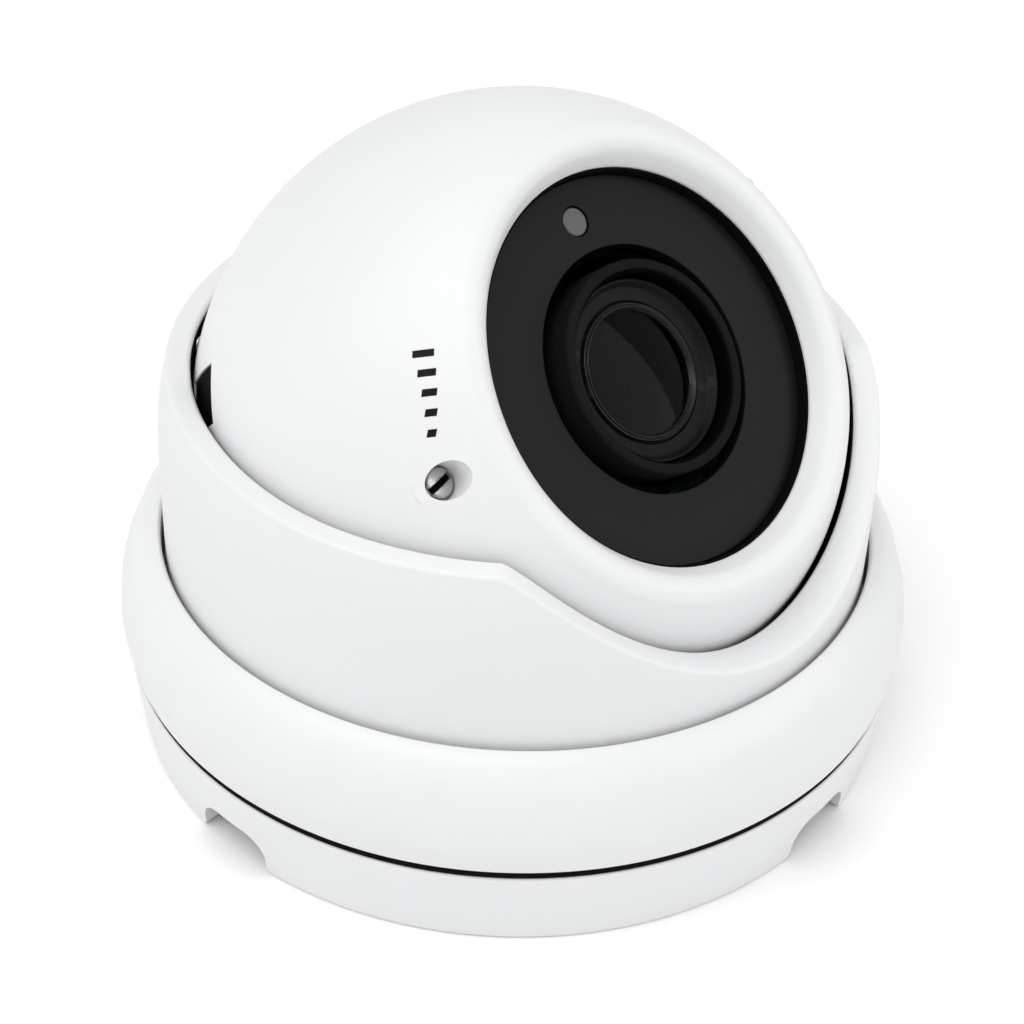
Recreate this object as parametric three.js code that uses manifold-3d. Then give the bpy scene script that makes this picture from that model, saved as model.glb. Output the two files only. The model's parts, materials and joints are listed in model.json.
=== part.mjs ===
// A turret-style dome security camera: a round base, a lock ring that screws over a turning saddle,
// and a tilting ball that holds a varifocal lens behind a flat dark window.
// Millimetres, +Z up. The origin is the centre of the base's underside, on the pan axis.
// At rest the lens looks along -Y and up by ball.elevation. The tilt axis is X through the ball's centre.
import * as THREE from 'three';
import { mergeVertices } from 'three/addons/utils/BufferGeometryUtils.js';
import Module from 'manifold-3d';

const wasm = await Module();
wasm.setup();

// ---- driving dimensions -------------------------------------------------------------------------
const gap = 0.3;                                  // space left between pieces that meet

const base = {
  footR: 58.8, topR: 60.2, deckTop: 13.0, deckBottom: 9.6, deckHoleR: 35.5, wall: 3.0, footEase: 0.6,
  collarR: 57.2, collarInnerR: 50.6, collarTop: 19.0,
  bossRing: 44.5, bossR: 4.6, bossHoleR: 2.3, bossCount: 3,
  frontAzimuth: -42.8, notchHalfAngle: 47.2, notchWidth: 14.0, notchHeight: 6.6, notchCornerR: 3.6,
};
const seal = { innerR: 57.7, outerR: 59.8 };
const ring = {
  bottom: 14.5, bottomR: 60.3, maxR: 61.0, maxZ: 20.5, shoulderR: 58.6, shoulderZ: 29.2,
  lipR: 54.3, lipTop: 32.3, lipEase: 0.4, crownR: 55.2, boreR: 57.6, shelf: 24.4,
  screwR: 1.5, screwZ: 18.0, screwLength: 2.2,
};
const saddle = {
  wallR: 53.7, innerR: 50.0, flangeR: 56.8, flangeBottom: 20.4, flangeTop: 23.1,
  straightTop: 43.0, curveZ: 50.0, curveR: 53.35, socketZ: 54.0,
  rimTop: 59.7, rimOuterR: 50.9, rimInnerR: 49.5, rimEase: 0.4,
  dipDepth: 23.2, dipHalfAngle: 50.0, dipPower: 1.3,
};
const glide = { innerR: 51.4, outerR: 56.6, thickness: 0.8 };
const ball = {
  centreZ: 49.4, R: 48.8, innerR: 46.2, elevation: 40.5,
  split: -16.0, rearFlat: -36.0, rearWall: 2.6,
  lipStartR: 34.6, lipOuterR: 33.3, lipOuterW: 35.35, lipRidgeR: 31.6, lipRidgeW: 35.6,
  lipInnerR: 29.2, lipInnerW: 34.1, recessR: 28.0, recessW: 33.0,
  seatW: 27.0, seatInnerR: 25.0, innerPlaneW: 24.6,
};
const pocket = { ring: 37.5, R: 2.75, floorW: 24.0, bossR: 4.3, bossBottom: 22.4 };   // adjusting wells
const sidePocket = {
  ring: 50.1, R: 3.6, front: -6.5, back: -16.0, plugBack: -13.0, plugSink: 0.4, angles: [30.6, 149.4],
};
const pivot = {
  R: 2.8, headR: 4.6, headIn: 43.05, headOut: 43.9, washerR: 4.4, washerOut: 44.9, tip: 51.5, boreEnd: 51.9,
};
const coverScrew = {
  ring: 42.2, shankR: 1.3, headR: 2.2, headTop: -20.8, headBottom: -22.6, tip: -9.5,
  lugR: 3.3, lugTop: -8.2, lugBottom: -22.0,
  angles: [45, 135, 225, 315],
};
const pane = { R: 27.6, top: 30.6, thickness: 2.0, holeR: 17.8 };
const paneGasket = { innerR: 25.2, outerR: 27.5, bottom: 27.3 };
const lightSensor = { x: 1.9, y: 22.6, windowR: 2.05, cellR: 1.7 };
const baffle = { innerR: 16.7, outerR: 17.4, bottom: 19.0, top: 30.2 };
const hood = { outerR: 15.4, lipInnerR: 13.9, seatR: 13.3, bottom: 24.0, step: 27.8, top: 32.7, ease: 0.45 };
const lens = {
  barrelR: 12.9, bottom: 1.8, top: 29.0, noseTaper: 2.2, noseEase: 0.5,
  collarR: 14.8, collarHeight: 1.6, rearBoreR: 6.0, frontBoreR: 9.6, frontBoreFloor: 21.5, boreEase: 0.4,
  frontR: 9.3, frontRim: 26.2, frontCrown: 28.9, frontBack: 22.2,
  rearR: 5.7, rearBottom: 5.6, rearTop: 9.2, rearBow: 0.9,
};
const gear = {
  module: 1.0, ringTeeth: 34, idlerTeeth: 16, pinionTeeth: 9, width: 3.0, shaftR: 1.3, ringBoreR: 13.4,
  addendum: 0.75, dedendum: 1.15, tipHalf: 0.11, rootHalf: 0.29,
};
const drives = [
  { name: 'zoom', side: -1, level: 4.2 },
  { name: 'focus', side: 1, level: 10.2 },
];
const screwHead = { R: 2.3, thickness: 1.5, slotWidth: 0.6, slotDepth: 0.7, slotAngle: 12 };
const mount = { halfLength: 42.0, halfWidth: 12.0, bottom: -1.0, top: 1.5, cornerR: 5.0, lightHoleR: 8.0 };
const post = { x: 20.0, y: 10.8, R: 1.5, top: 20.6 };
const irBoard = { innerR: 18.2, outerR: 27.0, bottom: 20.9, top: 22.4 };
const led = { count: 7, ring: 21.9, R: 2.3, top: 27.2, skipAngle: 90 };
const sensorChip = { size: 9.0, cornerR: 0.4, top: -1.4, bottom: -2.9 };
const sensorBoard = { size: 36.0, cornerR: 1.5, top: -3.2, bottom: -4.8 };
const mainBoard = { size: 52.0, cornerR: 1.5, top: -12.4, bottom: -14.0 };
const processor = { size: 14.0, cornerR: 0.5, top: -14.3, bottom: -16.2 };
const spacer = { offset: 14.5, R: 1.6 };
const rearSeal = { innerR: 37.8, outerR: 38.6, halfWidth: 1.2 };
const gland = { holeR: 5.2, stemR: 4.9, flangeR: 8.0, boreR: 3.0, flangeBack: -38.8, inner: -31.5 };

const fine = 40;                                  // facets round the large shells
const medium = 20;
const coarse = 10;

// ---- materials ----------------------------------------------------------------------------------
function finish(color, roughness, metalness) {
  return new THREE.MeshStandardMaterial({ color, roughness, metalness });
}

const whitePaint = finish(0xe9eaec, 0.42, 0.1);
const blackRubber = finish(0x141414, 0.85, 0.0);
const darkPane = finish(0x262626, 0.35, 0.0);
const blackPlastic = finish(0x1c1c1d, 0.55, 0.0);
const steel = finish(0xb9b7b2, 0.35, 0.9);
const glass = finish(0x1a1518, 0.05, 0.0);
const greyGlass = finish(0x6f6f72, 0.25, 0.0);
const naturalPlastic = finish(0xd9d6cc, 0.5, 0.0);
const circuitBoard = finish(0x1f5a3a, 0.5, 0.1);
const ledEpoxy = finish(0x2a2230, 0.15, 0.0);
const chipBlack = finish(0x202022, 0.6, 0.0);
const brass = finish(0xb08d4a, 0.35, 0.9);

// ---- helpers ------------------------------------------------------------------------------------
const rad = THREE.MathUtils.degToRad;
const part = new THREE.Group();

// Points [r, z] along a round stretch about (cr, cz), from angle a to angle b in degrees.
function arc(cr, cz, radius, a, b, steps) {
  return Array.from({ length: steps + 1 }, (_, i) => {
    const t = rad(a + (b - a) * i / steps);
    return [cr + radius * Math.cos(t), cz + radius * Math.sin(t)];
  });
}

// Points [r, w] on a ball about the origin, between two heights.
function ballArc(radius, fromW, toW, steps) {
  const latitude = (w) => THREE.MathUtils.radToDeg(Math.asin(w / radius));
  return arc(0, 0, radius, latitude(fromW), latitude(toW), steps);
}

const radiusAt = (R, w) => Math.sqrt(R * R - w * w);

// Points [r, z] of a smooth curve through a few given ones.
function smooth(points, steps) {
  const curve = new THREE.SplineCurve(points.map(([r, z]) => new THREE.Vector2(r, z)));
  return curve.getPoints(steps).map((p) => [p.x, p.y]);
}

// Merge a geometry's shared vertices, drop slivers and make its faces point out.
function closedMesh(geometry) {
  geometry.deleteAttribute('normal');
  geometry.deleteAttribute('uv');
  const merged = mergeVertices(geometry, 1e-4);
  const p = merged.attributes.position.array;
  const kept = [];
  let volume = 0;
  for (let i = 0; i < merged.index.count; i += 3) {
    const [a, b, c] = [0, 1, 2].map((k) => merged.index.getX(i + k));
    if (a === b || b === c || a === c) continue;
    kept.push(a, b, c);
    const [u, v, w] = [a, b, c].map((k) => new THREE.Vector3().fromArray(p, 3 * k));
    volume += u.dot(v.cross(w));
  }
  const triVerts = new Uint32Array(kept);
  if (volume < 0) {
    for (let i = 0; i < triVerts.length; i += 3) {
      [triVerts[i], triVerts[i + 1]] = [triVerts[i + 1], triVerts[i]];
    }
  }
  return { vertProperties: new Float32Array(p), triVerts };
}

const solid = (geometry) => new wasm.Manifold(new wasm.Mesh({ numProp: 3, ...closedMesh(geometry) }));

function toGeometry(manifold) {
  const { vertProperties, triVerts } = manifold.getMesh();
  const geometry = new THREE.BufferGeometry();
  geometry.setAttribute('position', new THREE.BufferAttribute(new Float32Array(vertProperties), 3));
  geometry.setIndex(new THREE.BufferAttribute(new Uint32Array(triVerts), 1));
  geometry.computeVertexNormals();
  return geometry;
}

// A body turned about Z from a profile of [r, z] points; a loop profile names its first point again.
function turned(profile, facets, loop = true) {
  const outline = loop ? [...profile, profile[0]] : profile;
  const geometry = new THREE.LatheGeometry(outline.map(([r, z]) => new THREE.Vector2(r, z)), facets);
  return solid(geometry.rotateX(Math.PI / 2));
}

// A washer or tube between two radii and two heights.
const tube = (innerR, outerR, bottom, top, facets) => turned(
  [[innerR, bottom], [outerR, bottom], [outerR, top], [innerR, top]], facets);

// A round bar from one height to another, standing at (x, y).
function bar(radius, bottom, top, facets = coarse, x = 0, y = 0) {
  const geometry = new THREE.CylinderGeometry(radius, radius, top - bottom, facets).rotateX(Math.PI / 2);
  return solid(geometry.translate(x, y, (bottom + top) / 2));
}

// A round bar along X.
function crossBar(radius, from, to, facets = coarse) {
  const geometry = new THREE.CylinderGeometry(radius, radius, Math.abs(to - from), facets);
  return solid(geometry.rotateZ(Math.PI / 2).translate((from + to) / 2, 0, 0));
}

const ballOf = (radius, facets) => solid(new THREE.SphereGeometry(radius, facets, facets / 2));

// A plate with an outline in XY, from one height to another.
function plate(shape, bottom, top, curveSegments = 3) {
  const options = { depth: top - bottom, bevelEnabled: false, curveSegments };
  const geometry = new THREE.ExtrudeGeometry(shape, options);
  return solid(geometry.translate(0, 0, bottom));
}

function roundedRectangle(halfX, halfY, r) {
  const shape = new THREE.Shape();
  shape.moveTo(-halfX + r, -halfY);
  shape.lineTo(halfX - r, -halfY);
  shape.absarc(halfX - r, -halfY + r, r, -Math.PI / 2, 0);
  shape.lineTo(halfX, halfY - r);
  shape.absarc(halfX - r, halfY - r, r, 0, Math.PI / 2);
  shape.lineTo(-halfX + r, halfY);
  shape.absarc(-halfX + r, halfY - r, r, Math.PI / 2, Math.PI);
  shape.lineTo(-halfX, -halfY + r);
  shape.absarc(-halfX + r, -halfY + r, r, Math.PI, Math.PI * 1.5);
  return shape;
}

const polar = (radius, degrees) => [radius * Math.cos(rad(degrees)), radius * Math.sin(rad(degrees))];

function put(group, name, manifold, material) {
  const mesh = new THREE.Mesh(toGeometry(manifold), material);
  mesh.name = name;
  group.add(mesh);
  return mesh;
}

// ---- base ---------------------------------------------------------------------------------------
function notchCutter() {
  const { notchWidth: w, notchHeight: h, notchCornerR: r } = base;
  const shape = new THREE.Shape();
  shape.moveTo(-w / 2, -1);
  shape.lineTo(w / 2, -1);
  shape.lineTo(w / 2, h - r);
  shape.absarc(w / 2 - r, h - r, r, 0, Math.PI / 2);
  shape.lineTo(-w / 2 + r, h);
  shape.absarc(-w / 2 + r, h - r, r, Math.PI / 2, Math.PI);
  const depth = base.topR;
  const geometry = new THREE.ExtrudeGeometry(shape, { depth, bevelEnabled: false, curveSegments: 5 });
  // the outline stands in XZ and the cutter runs out along -Y, clear of the bosses
  return solid(geometry.rotateX(Math.PI / 2).translate(0, -(base.footR - 2 * base.wall), 0));
}

function buildBase() {
  const inner = base.footR - base.wall;
  let body = turned([
    [inner, 0], [base.footR - base.footEase, 0], [base.footR, base.footEase], [base.topR, base.deckTop],
    [base.collarR, base.deckTop], [base.collarR, base.collarTop], [base.collarInnerR, base.collarTop],
    [base.collarInnerR, base.deckTop], [base.deckHoleR, base.deckTop], [base.deckHoleR, base.deckBottom],
    [inner, base.deckBottom],
  ], fine);
  for (let i = 0; i < base.bossCount; i += 1) {
    const angle = base.frontAzimuth + 360 * i / base.bossCount;
    const [x, y] = polar(base.bossRing, angle - 90);
    body = body.add(bar(base.bossR, 0, base.deckTop - 1, coarse, x, y));
    body = body.subtract(bar(base.bossHoleR, -1, base.deckTop + 1, coarse, x, y));
  }
  const half = base.notchHalfAngle;
  for (const side of [-half, half, 180 - half, 180 + half]) {
    body = body.subtract(notchCutter().rotate([0, 0, base.frontAzimuth + side]));
  }
  put(part, 'mounting_base', body, whitePaint);
  put(part, 'base_seal',
    tube(seal.innerR, seal.outerR, base.deckTop + gap, ring.bottom - gap, fine), blackRubber);
  const glideBottom = base.collarTop + gap;
  put(part, 'pan_glide_ring',
    tube(glide.innerR, glide.outerR, glideBottom, glideBottom + glide.thickness, medium), naturalPlastic);
}

// ---- lock ring ----------------------------------------------------------------------------------
function buildLockRing() {
  const bulge = smooth([
    [ring.bottomR, ring.bottom + ring.lipEase], [ring.maxR, ring.maxZ], [ring.shoulderR, ring.shoulderZ],
    [ring.crownR, ring.lipTop],
  ], 7);
  const screwAngle = base.frontAzimuth + 90;
  const radial = (radius, from, to) => crossBar(radius, from, to, 16).rotate([0, 0, screwAngle])
    .translate([0, 0, ring.screwZ]);
  const body = turned([
    [ring.boreR, ring.bottom], [ring.bottomR - ring.lipEase, ring.bottom], ...bulge,
    [ring.lipR, ring.lipTop - ring.lipEase],
    [ring.lipR, ring.shelf], [ring.boreR, ring.shelf],
  ], fine).subtract(radial(ring.screwR + gap, ring.boreR - 1, ring.maxR + 1));
  put(part, 'lock_ring', body, whitePaint);
  const screwStart = ring.boreR + gap;
  put(part, 'ring_lock_screw', radial(ring.screwR, screwStart, screwStart + ring.screwLength), steel);
}

// ---- saddle -------------------------------------------------------------------------------------
// The height of the saddle's rim at an angle from the lens' side: level, with a smooth dip in front.
function rimHeight(degrees) {
  const t = Math.min(1, Math.abs(degrees) / saddle.dipHalfAngle);
  return saddle.rimTop - saddle.dipDepth * (1 - t * t) ** saddle.dipPower;
}

function dipCutter() {
  const shape = new THREE.Shape();
  const steps = 18;
  const limit = saddle.dipHalfAngle;
  const midR = (saddle.wallR + saddle.innerR) / 2;
  for (let i = 0; i <= steps; i += 1) {
    const angle = -limit + 2 * limit * i / steps;
    const x = midR * Math.sin(rad(angle));
    if (i === 0) shape.moveTo(x, rimHeight(angle) + 0.02);
    else shape.lineTo(x, rimHeight(angle) + (i === steps ? 0.02 : 0));
  }
  const top = saddle.rimTop + 5;
  shape.lineTo(midR * Math.sin(rad(limit)), top);
  shape.lineTo(-midR * Math.sin(rad(limit)), top);
  const geometry = new THREE.ExtrudeGeometry(shape, { depth: saddle.wallR, bevelEnabled: false });
  return solid(geometry.rotateX(Math.PI / 2).translate(0, -saddle.wallR / 4, 0));
}

function buildSaddle() {
  const shoulder = smooth([
    [saddle.wallR, saddle.straightTop], [saddle.curveR, saddle.curveZ],
    [saddle.rimOuterR, saddle.rimTop - saddle.rimEase],
  ], 5);
  const socket = smooth([
    [saddle.rimInnerR, saddle.rimTop], [saddle.innerR - 0.05, saddle.socketZ],
    [saddle.innerR, ball.centreZ],
  ], 3);
  let shell = turned([
    [saddle.innerR, saddle.flangeBottom], [saddle.flangeR, saddle.flangeBottom],
    [saddle.flangeR, saddle.flangeTop], [saddle.wallR, saddle.flangeTop], ...shoulder,
    [saddle.rimOuterR - saddle.rimEase, saddle.rimTop], ...socket,
  ], fine).subtract(dipCutter());
  for (const side of [-1, 1]) {
    const bore = crossBar(pivot.R + gap, side * (saddle.innerR - 2), side * pivot.boreEnd);
    shell = shell.subtract(bore.translate([0, 0, ball.centreZ]));
  }
  put(part, 'saddle_shell', shell, whitePaint);
  const frictionBottom = saddle.flangeTop + gap;
  put(part, 'pan_friction_ring',
    tube(ring.lipR + gap, glide.outerR, frictionBottom, ring.shelf - gap, medium), naturalPlastic);
  for (const [side, word] of [[-1, 'left'], [1, 'right']]) {
    const pin = crossBar(pivot.R, side * (pivot.headIn + 0.5), side * pivot.tip)
      .add(crossBar(pivot.headR, side * pivot.headIn, side * pivot.headOut))
      .translate([0, 0, ball.centreZ]);
    put(part, `tilt_pin_${word}`, pin, steel);
  }
}

// ---- ball ---------------------------------------------------------------------------------------
// Everything in the ball is drawn about its centre with the lens along +Z, X across and Y up.
const ballGroup = new THREE.Group();
ballGroup.position.set(0, 0, ball.centreZ);
ballGroup.rotation.x = rad(90 - ball.elevation);
part.add(ballGroup);

function coverLugs(bottom, top) {
  const limit = ballOf(ball.R - 1, fine);
  return coverScrew.angles.map((angle) => {
    const [x, y] = polar(coverScrew.ring, angle);
    return bar(coverScrew.lugR, bottom, top, 10, x, y).intersect(limit);
  });
}

function buildFrontShell() {
  const lipStartW = radiusAt(ball.R, ball.lipStartR);
  const lip = smooth([
    [ball.lipStartR, lipStartW], [ball.lipOuterR, ball.lipOuterW], [ball.lipRidgeR, ball.lipRidgeW],
    [ball.lipInnerR, ball.lipInnerW], [ball.recessR, ball.recessW],
  ], 6).slice(1);
  let shell = turned([
    ...ballArc(ball.R, ball.split, lipStartW, 7), ...lip,
    [ball.recessR, ball.seatW], [ball.seatInnerR, ball.seatW], [ball.seatInnerR, ball.innerPlaneW],
    ...ballArc(ball.innerR, ball.innerPlaneW, ball.split, 4),
  ], fine);
  coverLugs(ball.split, coverScrew.lugTop).forEach((lug) => {
    shell = shell.add(lug);
  });
  for (const angle of coverScrew.angles) {
    const [x, y] = polar(coverScrew.ring, angle);
    shell = shell.subtract(bar(coverScrew.shankR + gap, ball.split - 1, coverScrew.tip + 0.5, 8, x, y));
  }
  const inside = ballOf(ball.R - 1, fine);
  for (const side of [-1, 1]) {
    const boss = bar(pocket.bossR, pocket.bossBottom, ball.seatW, 20, side * pocket.ring, 0);
    shell = shell.add(boss.intersect(inside));
    shell = shell.subtract(bar(pocket.R, pocket.floorW, ball.R, 16, side * pocket.ring, 0));
    shell = shell.subtract(bar(gear.shaftR + gap, 0, ball.R, 10, side * pocket.ring, 0));
    shell = shell.subtract(crossBar(pivot.R + gap, side * (ball.innerR - 3), side * (ball.R + 1)));
  }
  for (const angle of sidePocket.angles) {
    const [x, y] = polar(sidePocket.ring, angle);
    shell = shell.subtract(bar(sidePocket.R, sidePocket.back - 1, sidePocket.front, 16, x, y));
  }
  put(ballGroup, 'ball_front_shell', shell, whitePaint);
}

function buildSidePlugs() {
  const skin = ballOf(ball.R - sidePocket.plugSink, fine);
  sidePocket.angles.forEach((angle, i) => {
    const [x, y] = polar(sidePocket.ring, angle);
    const plug = bar(sidePocket.R - gap, sidePocket.plugBack, sidePocket.front - gap, 16, x, y);
    put(ballGroup, `side_plug_${i + 1}`, plug.intersect(skin), blackRubber);
  });
}

function buildRearCover() {
  const top = ball.split - gap;
  const innerFlat = ball.rearFlat + ball.rearWall;
  let cover = turned([
    [gland.holeR, ball.rearFlat],
    ...ballArc(ball.R, ball.rearFlat, top, 4), ...ballArc(ball.innerR, top, innerFlat, 3),
    [gland.holeR, innerFlat],
  ], fine);
  const seat = coverScrew.headTop + gap;
  coverLugs(coverScrew.lugBottom, top).forEach((lug) => {
    cover = cover.add(lug);
  });
  coverScrew.angles.forEach((angle, i) => {
    const [x, y] = polar(coverScrew.ring, angle);
    cover = cover.subtract(bar(coverScrew.headR + gap, -ball.R, seat, 10, x, y));
    cover = cover.subtract(bar(coverScrew.shankR + gap, -ball.R, 0, 8, x, y));
    const screw = bar(coverScrew.headR, coverScrew.headBottom, coverScrew.headTop, 10, x, y)
      .add(bar(coverScrew.shankR, coverScrew.headBottom + 0.5, coverScrew.tip, 8, x, y));
    put(ballGroup, `cover_screw_${i + 1}`, screw, steel);
  });
  put(ballGroup, 'ball_rear_cover', cover, whitePaint);
  const { innerR, outerR, halfWidth } = rearSeal;
  put(ballGroup, 'rear_cover_seal',
    tube(innerR, outerR, ball.split - halfWidth, ball.split + halfWidth, medium), blackRubber);
  put(ballGroup, 'cable_gland', turned([
    [gland.boreR, gland.flangeBack], [gland.flangeR - 0.8, gland.flangeBack],
    [gland.flangeR, gland.flangeBack + 0.8], [gland.flangeR, ball.rearFlat - gap],
    [gland.stemR, ball.rearFlat - gap], [gland.stemR, gland.inner], [gland.boreR, gland.inner],
  ], 14), blackRubber);
}

function buildWindow() {
  const paneBottom = pane.top - pane.thickness;
  const sensorHole = bar(lightSensor.windowR + gap, 0, ball.R, coarse, lightSensor.x, lightSensor.y);
  put(ballGroup, 'window_pane',
    tube(pane.holeR, pane.R, paneBottom, pane.top, fine).subtract(sensorHole), darkPane);
  put(ballGroup, 'sensor_window',
    bar(lightSensor.windowR, paneBottom, pane.top - 0.1, coarse, lightSensor.x, lightSensor.y), greyGlass);
  put(ballGroup, 'window_gasket',
    tube(paneGasket.innerR, paneGasket.outerR, paneGasket.bottom, paneBottom - gap, medium), blackRubber);
  put(ballGroup, 'light_baffle',
    tube(baffle.innerR, baffle.outerR, baffle.bottom, baffle.top, medium), blackPlastic);
}

function buildIrBoard() {
  const { innerR, outerR, bottom: under, top } = irBoard;
  put(ballGroup, 'ir_board', tube(innerR, outerR, under, top, medium), circuitBoard);
  const bottom = top + gap;
  const cellTop = pane.top - pane.thickness - gap;
  put(ballGroup, 'light_sensor',
    bar(lightSensor.cellR, bottom, cellTop, 14, lightSensor.x, lightSensor.y), ledEpoxy);
  for (let i = 1; i < led.count; i += 1) {
    const [x, y] = polar(led.ring, led.skipAngle + 360 * i / led.count);
    const dome = [[0, bottom], [led.R, bottom], [led.R, led.top - led.R],
      ...arc(0, led.top - led.R, led.R, 20, 90, 2).slice(0, -1), [0, led.top]];
    put(ballGroup, `ir_led_${i}`, turned(dome, 8, false).translate([x, y, 0]), ledEpoxy);
  }
  let count = 0;
  for (const x of [-post.x, post.x]) {
    for (const y of [-post.y, post.y]) {
      count += 1;
      put(ballGroup, `board_post_${count}`, bar(post.R, mount.top + gap, post.top, 12, x, y), brass);
    }
  }
}

// ---- lens and its two adjusting drives ----------------------------------------------------------
function buildLens() {
  const r = lens.barrelR;
  const collars = drives.map(({ level }) => level + gear.width + gap);
  const steps = collars.flatMap((w) => [[r, w], [lens.collarR, w], [lens.collarR, w + lens.collarHeight],
    [r, w + lens.collarHeight]]);
  put(ballGroup, 'lens_barrel', turned([
    [lens.rearBoreR, lens.bottom], [r, lens.bottom], ...steps, [r, lens.top - lens.noseTaper],
    [r - lens.noseEase, lens.top - lens.noseEase], [r - 2 * lens.noseEase, lens.top],
    [lens.frontBoreR + lens.boreEase, lens.top], [lens.frontBoreR, lens.top - lens.boreEase],
    [lens.frontBoreR, lens.frontBoreFloor], [lens.rearBoreR, lens.frontBoreFloor],
  ], medium), blackPlastic);
  put(ballGroup, 'front_lens_element', turned([
    [0, lens.frontBack], [lens.frontR, lens.frontBack], [lens.frontR, lens.frontRim],
    ...smooth([[lens.frontR - 0.3, lens.frontRim + 0.4], [lens.frontR * 0.6, lens.frontCrown - 0.8],
      [lens.frontR * 0.25, lens.frontCrown - 0.1]], 3), [0, lens.frontCrown],
  ], 20, false), glass);
  put(ballGroup, 'rear_lens_element', turned([
    [0, lens.rearBottom], [lens.rearR, lens.rearBottom + lens.rearBow],
    [lens.rearR, lens.rearTop - lens.rearBow], [0, lens.rearTop],
  ], 12, false), glass);
  put(ballGroup, 'lens_hood', turned([
    [hood.seatR, hood.bottom], [hood.outerR, hood.bottom], [hood.outerR, hood.top - hood.ease],
    [hood.outerR - hood.ease, hood.top], [hood.lipInnerR + hood.ease, hood.top],
    [hood.lipInnerR, hood.top - hood.ease], [hood.lipInnerR, hood.step], [hood.seatR, hood.step],
  ], medium), blackRubber);
}

// A toothed outline with a round bore; one tooth is centred on the given direction.
function gearShape(teeth, boreR, direction) {
  const pitchR = teeth * gear.module / 2;
  const pitch = 2 * Math.PI / teeth;
  const rootR = pitchR - gear.dedendum * gear.module;
  const tipR = pitchR + gear.addendum * gear.module;
  const shape = new THREE.Shape();
  for (let i = 0; i < teeth; i += 1) {
    const middle = rad(direction) + i * pitch;
    const corners = [
      [rootR, -gear.rootHalf], [tipR, -gear.tipHalf], [tipR, gear.tipHalf], [rootR, gear.rootHalf],
    ];
    corners.forEach(([radius, turn], k) => {
      const angle = middle + turn * pitch;
      const point = [radius * Math.cos(angle), radius * Math.sin(angle)];
      if (i === 0 && k === 0) shape.moveTo(...point);
      else shape.lineTo(...point);
    });
  }
  if (boreR > 0) shape.holes.push(new THREE.Path().absarc(0, 0, boreR, 0, 2 * Math.PI, true));
  return shape;
}

function buildDrive({ name, side, level }) {
  const top = level + gear.width;
  const ringR = gear.ringTeeth * gear.module / 2;
  const idlerR = gear.idlerTeeth * gear.module / 2;
  const idlerX = side * (ringR + idlerR);
  const outward = side > 0 ? 0 : 180;
  const halfPitch = 180 / gear.idlerTeeth;
  put(ballGroup, `${name}_ring_gear`,
    plate(gearShape(gear.ringTeeth, gear.ringBoreR, outward), level, top, 10), blackPlastic);
  put(ballGroup, `${name}_idler_gear`,
    plate(gearShape(gear.idlerTeeth, gear.shaftR + gap, halfPitch), level, top, 5)
      .translate([idlerX, 0, 0]), naturalPlastic);
  put(ballGroup, `${name}_idler_pin`, bar(gear.shaftR, mount.top + gap, top + 1, 12, idlerX, 0), steel);
  const headBottom = pocket.floorW + gap;
  const slot = solid(new THREE.BoxGeometry(screwHead.R * 3, screwHead.slotWidth, 2 * screwHead.slotDepth))
    .rotate([0, 0, screwHead.slotAngle]).translate([0, 0, headBottom + screwHead.thickness]);
  const screw = plate(gearShape(gear.pinionTeeth, 0, outward + 180), level, top)
    .add(bar(gear.shaftR, mount.bottom, headBottom + 0.5, 14))
    .add(bar(screwHead.R, headBottom, headBottom + screwHead.thickness, 24))
    .subtract(slot);
  put(ballGroup, `${name}_screw`, screw.translate([side * pocket.ring, 0, 0]), steel);
}

// ---- chassis and boards -------------------------------------------------------------------------
function buildChassis() {
  const shape = roundedRectangle(mount.halfLength, mount.halfWidth, mount.cornerR);
  let body = plate(shape, mount.bottom, mount.top).subtract(bar(mount.lightHoleR, -5, 5, medium));
  for (const side of [-1, 1]) {
    body = body.subtract(bar(gear.shaftR + gap, -5, 5, 8, side * pocket.ring, 0));
  }
  put(ballGroup, 'lens_mount', body, blackPlastic);
  const squares = [
    ['image_sensor', sensorChip, chipBlack], ['sensor_board', sensorBoard, circuitBoard],
    ['main_board', mainBoard, circuitBoard], ['processor_chip', processor, chipBlack],
  ];
  for (const [name, { size, cornerR, bottom, top }, material] of squares) {
    put(ballGroup, name, plate(roundedRectangle(size / 2, size / 2, cornerR), bottom, top), material);
  }
  let count = 0;
  for (const x of [-spacer.offset, spacer.offset]) {
    for (const y of [-spacer.offset, spacer.offset]) {
      count += 1;
      const column = bar(spacer.R, mainBoard.top + gap, sensorBoard.bottom - gap, 6, x, y);
      put(ballGroup, `board_spacer_${count}`, column, brass);
    }
  }
}

function buildTiltWashers() {
  for (const [side, word] of [[-1, 'left'], [1, 'right']]) {
    const washer = crossBar(pivot.washerR, side * (pivot.headOut + gap), side * pivot.washerOut)
      .subtract(crossBar(pivot.R + gap, side * (pivot.headIn - 1), side * pivot.tip));
    put(ballGroup, `tilt_washer_${word}`, washer, naturalPlastic);
  }
}

buildBase();
buildLockRing();
buildSaddle();
buildFrontShell();
buildSidePlugs();
buildRearCover();
buildWindow();
buildIrBoard();
buildLens();
drives.forEach(buildDrive);
buildChassis();
buildTiltWashers();

export default part;
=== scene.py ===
import json
from math import asin, cos, degrees, pi, radians, sin, sqrt, tan

import bmesh
import bpy
from mathutils import Matrix, Vector


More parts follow.
